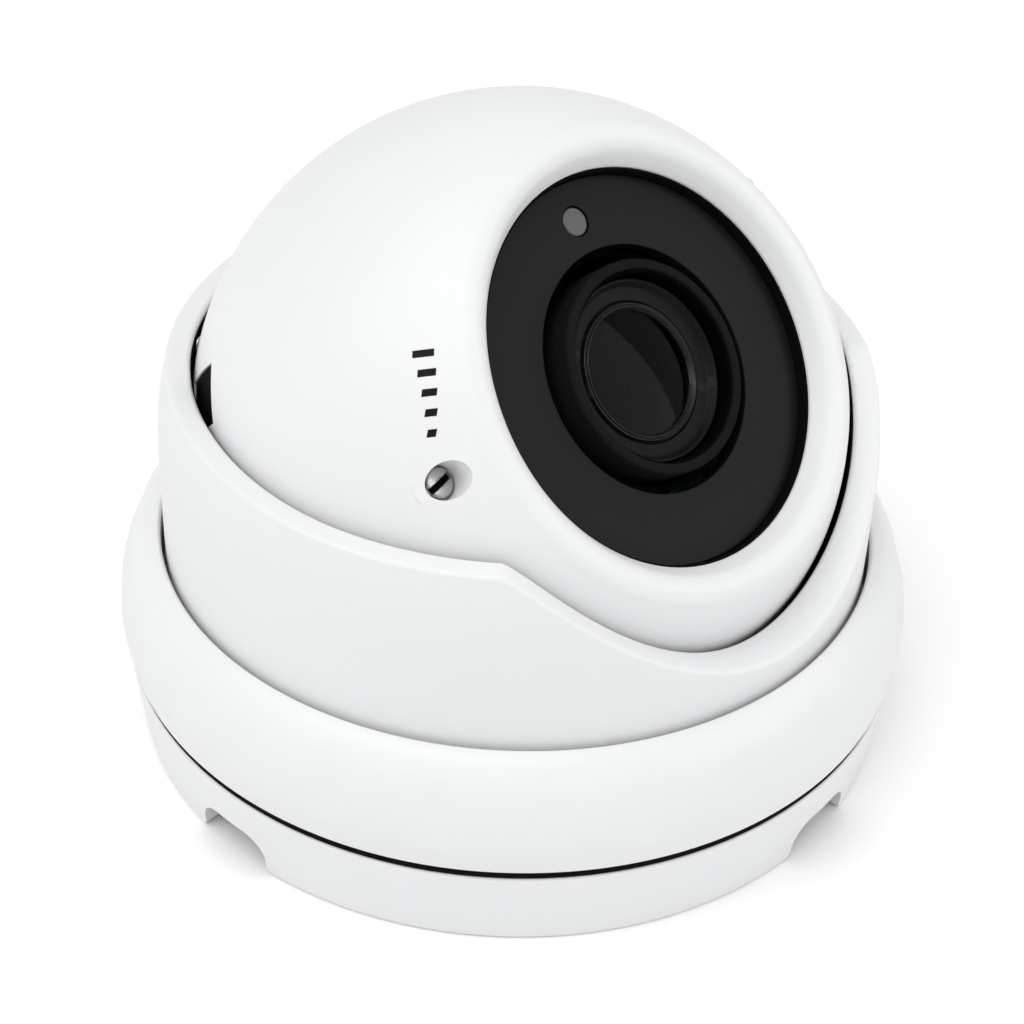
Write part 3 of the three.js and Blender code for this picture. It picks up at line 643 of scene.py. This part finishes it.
saddle = dict(flangeR=56.8, flangeBottom=20.4, flangeTop=23.1,
              outer=[(53.7, 24.0), (53.7, 43.0), (53.6, 49.0), (53.1, 55.0), (52.2, 59.3), (51.7, 61.5)],
              clearance=0.85, socketLow=34.0, rise=1.5, riseFrom=75.0, riseOver=60.0, skirtR=50.0, skirtTop=28.0,
              rimTop=59.7, dipDepth=23.2, dipHalfAngle=50.0, dipPower=1.3, rimRound=0.75,
              shadeSleeveDrop=1.15, shadeSleeveLift=0.25, shadeSleeveLow=30.0, shadeSleeveInner=0.3, shadeSleeveOuter=0.05)


# the rim dips under the lens and rises a little at the back
def rimHeight(turn):
    angle = abs((degrees(turn) + 180) % 360 - 180)
    t = min(1.0, angle / saddle["dipHalfAngle"])
    back = min(1.0, max(0.0, (angle - saddle["riseFrom"]) / saddle["riseOver"]))
    rise = saddle["rise"] * back * back * (3 - 2 * back)
    return saddle["rimTop"] + rise - saddle["dipDepth"] * (1 - t * t) ** saddle["dipPower"]


# the radius of a run of (r, z) points at a height
def radiusAtHeight(run, z):
    ordered = sorted(run, key=lambda point: point[1])
    for (r0, z0), (r1, z1) in zip(ordered, ordered[1:]):
        if z0 <= z <= z1:
            return r0 + (r1 - r0) * (z - z0) / max(z1 - z0, 1e-9)
    return ordered[0][0] if z < ordered[0][1] else ordered[-1][0]


# the socket is a little wider than the ball, down to where the skirt opens out
def socketRun():
    low, high = saddle["socketLow"] - ballZ, saddle["rimTop"] + saddle["rise"] - ballZ
    socket = [(r, z + ballZ) for r, z in sphereRun(ballR + saddle["clearance"], low, high, 40)]
    return [(saddle["skirtR"], saddle["flangeBottom"]), (saddle["skirtR"], saddle["skirtTop"]), *socket]


def saddleColumn(turn, outerRun, innerRun, rows=30, arcs=6):
    low, foot, edge = saddle["flangeTop"], saddle["flangeBottom"], saddle["rimRound"]
    shoulder = rimHeight(turn) - edge
    rOut, rIn = radiusAtHeight(outerRun, shoulder), radiusAtHeight(innerRun, shoulder)
    soft = min(edge, (rOut - rIn) * 0.45)
    outside = [low + (shoulder - low) * k / rows for k in range(rows + 1)]
    inside = [shoulder + (foot + 1 - shoulder) * k / rows for k in range(1, rows + 1)]
    arc = [pi / 2 * k / arcs for k in range(arcs + 1)]
    return [(saddle["skirtR"], foot), (saddle["flangeR"], foot), (saddle["flangeR"], low),
            *[(radiusAtHeight(outerRun, z), z) for z in outside],
            *[(rOut - soft + soft * cos(a), shoulder + edge * sin(a)) for a in arc[1:]],
            *[(rIn + soft - soft * sin(a), shoulder + edge * cos(a)) for a in arc],
            *[(radiusAtHeight(innerRun, z), z) for z in inside]]


def buildSaddle():
    outerRun, innerRun, steps = flow(saddle["outer"], 12), socketRun(), 360
    shell = columnMesh("saddleShell", [saddleColumn(2 * pi * i / steps, outerRun, innerRun) for i in range(steps)])
    addPiece("saddleShell", shell, "saddle", "white_paint", replaced=["saddle_shell"], sharp=40)


# a black sleeve inside the saddle, a little below its rim, paints shade into the gap between ball and saddle
def shadeSleeveColumn(turn, run, rows=10):
    dip = max(0.0, saddle["rimTop"] - rimHeight(turn)) / saddle["dipDepth"]
    top, low = rimHeight(turn) - saddle["shadeSleeveDrop"] + dip * saddle["shadeSleeveLift"], saddle["shadeSleeveLow"]
    heights = [low + (top - low) * k / rows for k in range(rows + 1)]
    return [*[(radiusAtHeight(run, z) - saddle["shadeSleeveInner"], z) for z in heights],
            *[(radiusAtHeight(run, z) - saddle["shadeSleeveOuter"], z) for z in reversed(heights)]]


def buildSaddleShadeSleeve():
    run, steps = socketRun(), 240
    liner = columnMesh("saddleShadeSleeve", [shadeSleeveColumn(2 * pi * i / steps, run) for i in range(steps)])
    addPiece("saddleShadeSleeve", liner, "saddle", "black_rubber")


buildSaddle()
buildSaddleShadeSleeve()
print("saddle made")


# ---------- ball ----------

ball = dict(innerR=46.2, split=-16.0, lip=[(34.9, 34.1), (33.7, 35.15), (32.0, 35.7), (30.3, 35.0), (29.1, 33.5)],
            lipDrop=0.3, dropFromW=26.0, dropOverW=7.0, dropFromR=38.0, dropOverR=5.0, recessR=28.5, recessW=32.5,
            seatW=27.0, seatInnerR=25.0, innerPlaneW=24.6, rearFlat=-36.0, rearWall=2.6)
adjust = dict(ring=37.5, pocketR=2.5, floorW=25.0, bossR=4.0, bossBottom=22.4, bossTop=25.9, lean=11,
              headR=2.1, headBottom=25.3, headHeight=1.5, shankR=1.3, joinW=20.0, slotWidth=0.95, slotDepth=0.8,
              slotAngle=12)
sidePocket = dict(ring=47.7, R=4.4, front=-6.5, angle=29.6, plugGap=0.08, plugSink=0.22)
coverScrew = dict(ring=42.2, count=4, first=45, headR=2.2, headTop=-20.8, headBottom=-22.6, tip=-9.5, shankR=1.3)
pivot = dict(boreR=2.95)
gland = dict(boreR=3.0, flangeR=8.0, neckR=4.9, outerEnd=-38.8, shoulder=-36.3, innerEnd=-31.5, holeR=5.2)


def onRing(radius, angle):
    return radius * cos(radians(angle)), radius * sin(radians(angle))


def buildFrontShell():
    start = ball["lip"][0]
    outside = sphereRun(ballR, ball["split"] + 0.05, sqrt(ballR ** 2 - start[0] ** 2), 44)
    lip = flow([outside[-1], *ball["lip"][1:]], 7)[1:]
    recess = filletOutline([
        (ball["lip"][-1][0], ball["lip"][-1][1], 0), (ball["recessR"], ball["recessW"], 0.3),
        (ball["recessR"], ball["seatW"], 0.1), (ball["seatInnerR"], ball["seatW"], 0.1),
        (ball["seatInnerR"], ball["innerPlaneW"], 0.1), (38.0, ball["innerPlaneW"], 0)], 3)
    inside = sphereRun(ball["innerR"], ball["innerPlaneW"], ball["split"] + 0.05, 16)
    shell = turnedMesh("ballFront", outside + lip + recess[1:-1] + inside, 256)
    # the window's opening sits a touch low in the ball
    for vertex in shell.vertices:
        forward = min(1, max(0, (vertex.co.z - ball["dropFromW"]) / ball["dropOverW"]))
        inward = min(1, max(0, (ball["dropFromR"] - vertex.co.xy.length) / ball["dropOverR"]))
        vertex.co.y -= ball["lipDrop"] * forward * inward
    openings, shafts, bosses = [], [], []
    for side in (-1, 1):
        centre = (side * adjust["ring"], 0)
        bosses.append(barMesh("boss", adjust["bossR"], adjust["bossBottom"], adjust["bossTop"], 48, centre))
        # the well leans outward a little from the screw's head
        well = barMesh("well", adjust["pocketR"], 0, 30, 64)
        well.transform(Matrix.Rotation(side * radians(adjust["lean"]), 4, "Y"))
        well.transform(Matrix.Translation((*centre, adjust["floorW"])))
        openings.append(well)
        shafts.append(barMesh("shaftHole", adjust["shankR"] + 0.3, 15, adjust["floorW"] + 1, 24, centre))
        bore = barMesh("pivotBore", pivot["boreR"], 42, 52, 40)
        bore.transform(Matrix.Rotation(side * pi / 2, 4, "Y"))
        openings.append(bore)
        angle = sidePocket["angle"] if side > 0 else 180 - sidePocket["angle"]
        openings.append(barMesh("sidePocket", sidePocket["R"], -20, sidePocket["front"], 64,
                                onRing(sidePocket["ring"], angle)))
    shell = combined(shell, bosses, "UNION")
    shell = combined(shell, openings)
    shell = combined(shell, shafts)
    addPiece("ballFront", shell, "ball", "white_paint", ballSpace, ["ball_front_shell"], sharp=30)


def buildSidePlugs():
    sink, r = sidePocket["plugSink"], sidePocket["R"] - sidePocket["plugGap"]
    front, low = sidePocket["front"] - sidePocket["plugGap"], ball["split"] + 0.6
    for number, angle in enumerate((sidePocket["angle"], 180 - sidePocket["angle"]), 1):
        plug = turnedMesh("sidePlug", [(0, low), (r - 0.3, low), (r, low + 0.3), (r, front - 0.4), (r - 0.4, front),
                                       (0, front)], 64, closed=False)
        plug.transform(Matrix.Translation((*onRing(sidePocket["ring"], angle), 0)))
        skin = turnedMesh("skin", [(0, -ballR + sink), *sphereRun(ballR - sink, -ballR + 0.8, ballR - 0.8, 90),
                                   (0, ballR - sink)], 240, closed=False)
        plug = combined(plug, [skin], "INTERSECT")
        addPiece(f"sidePlug{number}", plug, "ball", "black_rubber", ballSpace, [f"side_plug_{number}"])


def buildRearCover():
    top = ball["split"] - 0.3
    flat, wall = ball["rearFlat"], ball["rearWall"]
    outside = sphereRun(ballR, flat + 0.2, top, 24)
    inside = sphereRun(ball["innerR"], top, flat + wall, 12)
    edgeR = outside[0][0]
    cover = turnedMesh("ballRear", [
        (gland["holeR"], flat), (edgeR - 1.0, flat), (edgeR - 0.3, flat + 0.05), *outside, *inside,
        (gland["holeR"], flat + wall)], 200)
    wells = [barMesh("well", coverScrew["headR"] + 0.3, -ballR, coverScrew["headTop"] + 0.3, 40,
                     onRing(coverScrew["ring"], coverScrew["first"] + 90 * k)) for k in range(coverScrew["count"])]
    cover = combined(cover, wells)
    addPiece("ballRear", cover, "ball", "white_paint", ballSpace, ["ball_rear_cover"])
    bush = turnedMesh("cableGland", filletOutline([
        (gland["boreR"], gland["outerEnd"], 0.5), (gland["flangeR"], gland["outerEnd"], 0.7),
        (gland["flangeR"], gland["shoulder"], 0.2), (gland["neckR"], gland["shoulder"], 0.2),
        (gland["neckR"], gland["innerEnd"], 0.4), (gland["boreR"], gland["innerEnd"], 0.3)]), 64)
    addPiece("cableGland", bush, "ball", "black_rubber", ballSpace, ["cable_gland"])


# a slotted screw head with its shank, about Z
def slottedHead(name, headR, bottom, height, shankR, shankEnd, slotWidth, slotDepth, slotAngle):
    top = bottom + height
    body = turnedMesh(name, [
        (0, shankEnd), (shankR - 0.2, shankEnd), (shankR, shankEnd + 0.2), (shankR, bottom), (headR - 0.15, bottom),
        (headR, bottom + 0.15), (headR, top - 0.45), *[(headR - 0.45 + 0.45 * cos(t), top - 0.45 + 0.45 * sin(t))
                                                       for t in (radians(a) for a in range(15, 90, 15))],
        (headR - 0.5, top), (headR * 0.5, top + 0.12), (0, top + 0.16)], 72, closed=False)
    half = slotWidth / 2
    slot = pushedMesh("slot", [(-2 * headR, -half), (2 * headR, -half), (2 * headR, half), (-2 * headR, half)],
                      top - slotDepth, top + 2)
    slot.transform(Matrix.Rotation(radians(slotAngle), 4, "Z"))
    return combined(body, [slot])


# the CAD screw below a height, with the finished head put on it
def buildAdjustScrews():
    for word, side in (("zoom", -1), ("focus", 1)):
        node = f"{word}_screw"
        cad = frame["nodes"][node]
        shaft = bmesh.new()
        shaft.from_mesh(cad.data)
        shaft.transform(ballSpace.inverted() @ cad.matrix_world)
        cut = bmesh.ops.bisect_plane(
            shaft, geom=[*shaft.verts, *shaft.edges, *shaft.faces], plane_co=(0, 0, adjust["joinW"]),
            plane_no=(0, 0, 1), clear_outer=True)
        rim = [item for item in cut["geom_cut"] if isinstance(item, bmesh.types.BMEdge)]
        bmesh.ops.holes_fill(shaft, edges=rim)
        lower = bpy.data.meshes.new(f"{word}Shaft")
        shaft.to_mesh(lower)
        shaft.free()
        head = slottedHead(f"{word}ScrewHead", adjust["headR"], adjust["headBottom"], adjust["headHeight"],
                           adjust["shankR"], adjust["joinW"] - 0.2, adjust["slotWidth"], adjust["slotDepth"],
                           adjust["slotAngle"])
        head.transform(Matrix.Translation((side * adjust["ring"], 0, 0)))
        addPiece(f"{word}Screw", joinMeshes(f"{word}Screw", [head, lower]), node, "steel", ballSpace, [node])
        # a dark strip of painted shade at the bottom of the slot
        half = adjust["slotWidth"] / 2 - 0.03
        reach = adjust["headR"] - 0.3
        low = adjust["headBottom"] + adjust["headHeight"] - adjust["slotDepth"] + 0.01
        strip = pushedMesh(f"{word}Slot", [(-reach, -half), (reach, -half), (reach, half), (-reach, half)],
                           low, low + 0.25)
        strip.transform(Matrix.Rotation(radians(adjust["slotAngle"]), 4, "Z"))
        strip.transform(Matrix.Translation((side * adjust["ring"], 0, 0)))
        addPiece(f"{word}SlotShade", strip, node, "black_rubber", ballSpace)


def buildCoverScrews():
    head = slottedHead("coverScrews", coverScrew["headR"], 0, coverScrew["headTop"] - coverScrew["headBottom"],
                       coverScrew["shankR"], coverScrew["headBottom"] - coverScrew["tip"], 0.6, 0.8, 20)
    # the heads face the rear
    head.transform(Matrix.Rotation(pi, 4, "X"))
    head.transform(Matrix.Translation((0, 0, coverScrew["headTop"])))
    screws = grown(head, ringOfCopies, {
        "Count": coverScrew["count"], "Ring Radius": coverScrew["ring"], "First Angle": radians(coverScrew["first"]),
        "Material": finishes["steel"]})
    names = [f"cover_screw_{k + 1}" for k in range(coverScrew["count"])]
    addPiece("coverScrews", screws, "ball", "steel", ballSpace, names)


buildFrontShell()
buildSidePlugs()
buildRearCover()
buildAdjustScrews()
buildCoverScrews()
print("ball made")


# ---------- window and lens ----------

window = dict(R=28.0, holeR=17.8, top=30.6, thickness=2.0, linerR=28.44, linerTop=32.2, drop=0.3,
              sensorX=0.1, sensorY=22.5, sensorR=2.05)
lens = dict(drop=0.45, barrelR=12.9, bottom=1.8, rimR=13.15, rimW=30.1, faceR=11.95, faceW=28.95, retainerR=9.95,
            retainerW=29.15, ridgeR=9.45, ridgeW=29.3, glassR=8.95, glassEdgeW=28.6, glassCrownW=29.5)
hood = dict(outerR=15.4, lipInnerR=13.9, seatR=13.4, bottom=24.0, step=29.0, top=32.7, sleeveR=13.5,
            sleeveTop=32.25)
baffle = dict(innerR=16.5, outerR=17.5, bottom=19.0, top=28.4)


def buildWindow():
    low = window["top"] - window["thickness"]
    space = ballSpace @ Matrix.Translation((0, -window["drop"], 0))
    pane = turnedMesh("windowPane", filletOutline([
        (window["holeR"], low, 0.1), (window["R"], low, 0.1), (window["R"], window["top"], 0.2),
        (window["holeR"], window["top"], 0.22)]), 256)
    spot = (window["sensorX"], window["sensorY"])
    pane = combined(pane, [barMesh("sensorHole", window["sensorR"] + 0.22, 20, 40, 64, spot)])
    addPiece("windowPane", pane, "ball", "dark_pane", space, ["window_pane"])
    dot = turnedMesh("sensorWindow", [(0, low), (window["sensorR"], low), (window["sensorR"], window["top"] - 0.25),
                                      (window["sensorR"] - 0.15, window["top"] - 0.1), (0, window["top"] - 0.06)],
                     64, closed=False)
    dot.transform(Matrix.Translation((*spot, 0)))
    addPiece("sensorWindow", dot, "ball", "grey_glass", space, ["sensor_window"])
    liner = turnedMesh("recessLiner", filletOutline([
        (window["R"] + 0.12, low, 0), (window["linerR"], low, 0), (window["linerR"], window["linerTop"], 0.05),
        (window["R"] + 0.12, window["linerTop"], 0.1)], 2), 256)
    addPiece("recessLiner", liner, "ball", "black_rubber", space)


def buildLens():
    space = ballSpace @ Matrix.Translation((0, -lens["drop"], 0))
    r, rim, face = lens["barrelR"], lens["rimR"], lens["faceW"]
    ringR, ringW, ridgeR, ridgeW = lens["retainerR"], lens["retainerW"], lens["ridgeR"], lens["ridgeW"]
    barrel = turnedMesh("lensBarrel", filletOutline([
        (6.0, lens["bottom"], 0.2), (r, lens["bottom"], 0.3), (r, face - 1.0, 0.2), (rim, face - 0.6, 0.2),
        (rim, lens["rimW"], 0.25), (rim - 0.35, lens["rimW"], 0.15), (lens["faceR"] + 0.25, face + 0.15, 0.15),
        (lens["faceR"], face, 0.1), (ringR + 0.45, face - 0.15, 0.1), (ringR + 0.2, face - 0.5, 0.05),
        (ringR + 0.05, face - 0.5, 0.05), (ringR + 0.05, 21.5, 0), (6.0, 21.5, 0.2)]), 180)
    addPiece("lensBarrel", barrel, "ball", "black_plastic", space, ["lens_barrel"], sharp=24)
    retainer = turnedMesh("lensRetainer", filletOutline([
        (lens["glassR"] + 0.04, 26.8, 0.1), (ringR, 26.8, 0.1), (ringR, ringW - 0.1, 0.1), (ringR - 0.12, ringW, 0.1),
        (ridgeR + 0.15, ringW - 0.2, 0.1), (ridgeR + 0.05, ridgeW - 0.05, 0.1), (ridgeR - 0.1, ridgeW, 0.08),
        (lens["glassR"] + 0.04, ridgeW - 0.7, 0.05)], 3), 180)
    addPiece("lensRetainer", retainer, "ball", "black_plastic", space, material=ringFinish)
    # a stepped throat behind the front glass closes down to a small aperture; its darker black is painted shade
    steps = [(8.9, 26.6), (8.9, 19.6), (2.4, 19.6), (2.4, 20.0), (4.0, 21.6), (4.0, 22.4), (6.2, 24.0), (6.2, 25.0),
             (7.9, 25.2), (8.1, 26.6)]
    throat = turnedMesh("lensThroat", filletOutline([(a, b, 0.08) for a, b in steps], 3), 128)
    addPiece("lensThroat", throat, "ball", "black_plastic", space, material=paintedShadeBlack)
    inner = turnedMesh("innerRetainer", filletOutline([
        (6.5, 25.3, 0.05), (7.7, 25.3, 0.05), (7.7, 25.6, 0.05), (6.75, 25.9, 0.1), (6.5, 25.7, 0.05)], 3), 128)
    addPiece("innerRetainer", inner, "ball", "black_plastic", space, material=ringFinish)
    edge, crown, glassR = lens["glassEdgeW"], lens["glassCrownW"], lens["glassR"]
    bow = (glassR ** 2 + (crown - edge) ** 2) / (2 * (crown - edge))
    front = [(glassR * k / 32, crown - bow + sqrt(bow ** 2 - (glassR * k / 32) ** 2)) for k in range(32, -1, -1)]
    glass = turnedMesh("frontGlass", [(0, edge - 1.3), (glassR, edge - 1.3), *front], 160, closed=False)
    addPiece("frontGlass", glass, "ball", "lens_glass", space, ["front_lens_element"])
    shade = turnedMesh("lensHood", filletOutline([
        (hood["seatR"], hood["bottom"], 0.2), (hood["outerR"], hood["bottom"], 0.3),
        (hood["outerR"], hood["top"], 0.7),
        (hood["lipInnerR"], hood["top"], 0.4), (hood["lipInnerR"], hood["step"], 0.1),
        (hood["seatR"], hood["step"], 0.1)]), 180)
    addPiece("lensHood", shade, "ball", "black_rubber", space, ["lens_hood"], material=hoodFinish)
    # a darker black sleeve on the hood lip's inner wall is painted shade; the hood's own black stays on its top face
    sleeve = turnedMesh("hoodShadeSleeve", filletOutline([
        (hood["sleeveR"], hood["step"] + 0.05, 0.05), (hood["lipInnerR"] - 0.03, hood["step"] + 0.05, 0.05),
        (hood["lipInnerR"] - 0.03, hood["sleeveTop"], 0.05),
        (hood["sleeveR"], hood["sleeveTop"] - 0.3, 0.1)], 2), 160)
    addPiece("hoodShadeSleeve", sleeve, "ball", "black_rubber", space, material=paintedShadeBlack)
    ring = turnedMesh("lightBaffle", filletOutline([
        (baffle["innerR"], baffle["bottom"], 0.1), (baffle["outerR"], baffle["bottom"], 0.1),
        (baffle["outerR"], baffle["top"], 0.2), (baffle["innerR"], baffle["top"], 0.2)], 3), 160)
    addPiece("lightBaffle", ring, "ball", "black_plastic", ballSpace, ["light_baffle"], material=paintedShadeBlack)


hoodFinish = makeFinish("hoodFoamFinish", dict(
    looks["black_rubber"], color=(0.0075, 0.0075, 0.008), tone=(0.0095, 0.0095, 0.01), grain=3000, bump=0.5))
# a flat black, darker than the black plastic and rubber, paints shade on the hood's inner wall, the lens throat and
# the light baffle
paintedShadeBlack = makeFinish("paintedShadeBlackFinish", dict(
    looks["black_rubber"], color=(0.0015, 0.001, 0.001), tone=(0.002, 0.0012, 0.0012), grain=500, bump=0.0,
    specular=0.02))
ringFinish = makeFinish("retainerFinish", dict(
    looks["black_plastic"], color=(0.009, 0.009, 0.0095), tone=(0.012, 0.012, 0.0125), roughness=0.3, specular=0.25,
    edge=(0.05, 0.05, 0.05)))
buildWindow()
buildLens()
print("window and lens made")


# ---------- printed marks by the adjusting screws ----------

marks = dict(count=5, startX=37.7, startY=6.4, stepX=-0.96, stepY=2.4, first=0.8, growth=0.27, thickness=0.95,
             tilt=30, lift=0.03)


def buildMarks():
    for word, side in (("zoom", -1), ("focus", 1)):
        seed = bpy.data.meshes.new(f"{word}Marks")
        ink = grown(seed, growingBars, {
            "Count": marks["count"], "Start": (side * marks["startX"], marks["startY"], 0.0),
            "Step": (side * marks["stepX"], marks["stepY"], 0.0), "First Length": marks["first"],
            "Growth": marks["growth"], "Thickness": marks["thickness"], "Tilt": radians(side * marks["tilt"]),
            "Ball Radius": ballR + marks["lift"], "Material": finishes["black_plastic"]})
        addPiece(f"{word}Marks", ink, "ball", "black_plastic", ballSpace)


buildMarks()


# ---------- CAD pieces that stay ----------

pinFinish = makeFinish("blackenedPinFinish", dict(looks["black_rubber"], roughness=0.5))
for entry in frame["record"]["subparts"]:
    cad = frame["nodes"][entry["node"]]
    cad.data.materials.clear()
    blackened = entry["node"].startswith(("tilt_pin", "tilt_washer"))
    cad.data.materials.append(pinFinish if blackened else finishes[entry["material_slot"]])
print("CAD pieces finished")


# ---------- camera, floor and light ----------

shot = dict(azimuth=-48.0, elevation=36.59, roll=2.18, distance=346.5, aimRight=-0.6, aimUp=31.6, lens=78.95)


def buildCamera():
    a, e, roll = (radians(shot[k]) for k in ("azimuth", "elevation", "roll"))
    back = Vector((sin(a) * cos(e), -cos(a) * cos(e), sin(e)))
    right = Vector((cos(a), sin(a), 0))
    up = back.cross(right)
    tiltedRight = right * cos(roll) + up * sin(roll)
    tiltedUp = up * cos(roll) - right * sin(roll)
    target = (right * shot["aimRight"] + Vector((0, 0, shot["aimUp"]))) * mm
    camera = bpy.data.objects.new("shotCamera", bpy.data.cameras.new("shotCamera"))
    bpy.context.scene.collection.objects.link(camera)
    pose = Matrix((tiltedRight, tiltedUp, back)).transposed().to_4x4()
    pose.translation = target + back * shot["distance"] * mm
    camera.matrix_world = pose
    camera.data.lens = shot["lens"]
    camera.data.clip_start, camera.data.clip_end = 0.01, 20
    bpy.context.scene.camera = camera
    return right, up, back


# the point lit, the white surroundings, and for each panel the metres to the right, up and
# towards the camera, its size and its power
litPoint = Vector((0, 0, 0.045))
surroundings = 0.64
panels = dict(keyPanel=(-0.6, 1.25, 1.7, 2.2, 31), rightPanel=(2.1, 0.6, 1.1, 1.8, 13),
              leftPanel=(-2.2, 0.4, 1.0, 1.6, 3))


def addPanel(name, place, size, power):
    light = bpy.data.lights.new(name, "AREA")
    light.shape, light.size, light.energy = "SQUARE", size, power
    panel = bpy.data.objects.new(name, light)
    bpy.context.scene.collection.objects.link(panel)
    panel.location = place
    panel.rotation_euler = (litPoint - place).to_track_quat("-Z", "Y").to_euler()


def buildStudio():
    right, up, back = buildCamera()
    floor = turnedMesh("studioFloor", [(0, -0.01), (6000, -0.01)], 96, closed=False)
    floor.transform(baseSpace)
    paper = makeFinish("studioPaper", dict(
        color=(0.94, 0.94, 0.942), tone=(0.95, 0.95, 0.952), roughness=0.8, spread=0.03, grain=200, cloud=4,
        bump=0.02, depth=0.02, specular=0.2))
    floor.materials.append(paper)
    ground = linked("studioFloor", floor)
    world = bpy.data.worlds.new("studioWorld")
    world.use_nodes = True
    world.node_tree.nodes["Background"].inputs["Color"].default_value = (1.0, 1.0, 1.0, 1)
    world.node_tree.nodes["Background"].inputs["Strength"].default_value = surroundings
    bpy.context.scene.world = world
    bpy.context.scene.view_settings.view_transform = "Standard"
    for name, (side, rise, near, size, power) in panels.items():
        place = litPoint + right * side + up * rise + back * near
        addPanel(name, place, size, power)


buildStudio()
print("studio made")
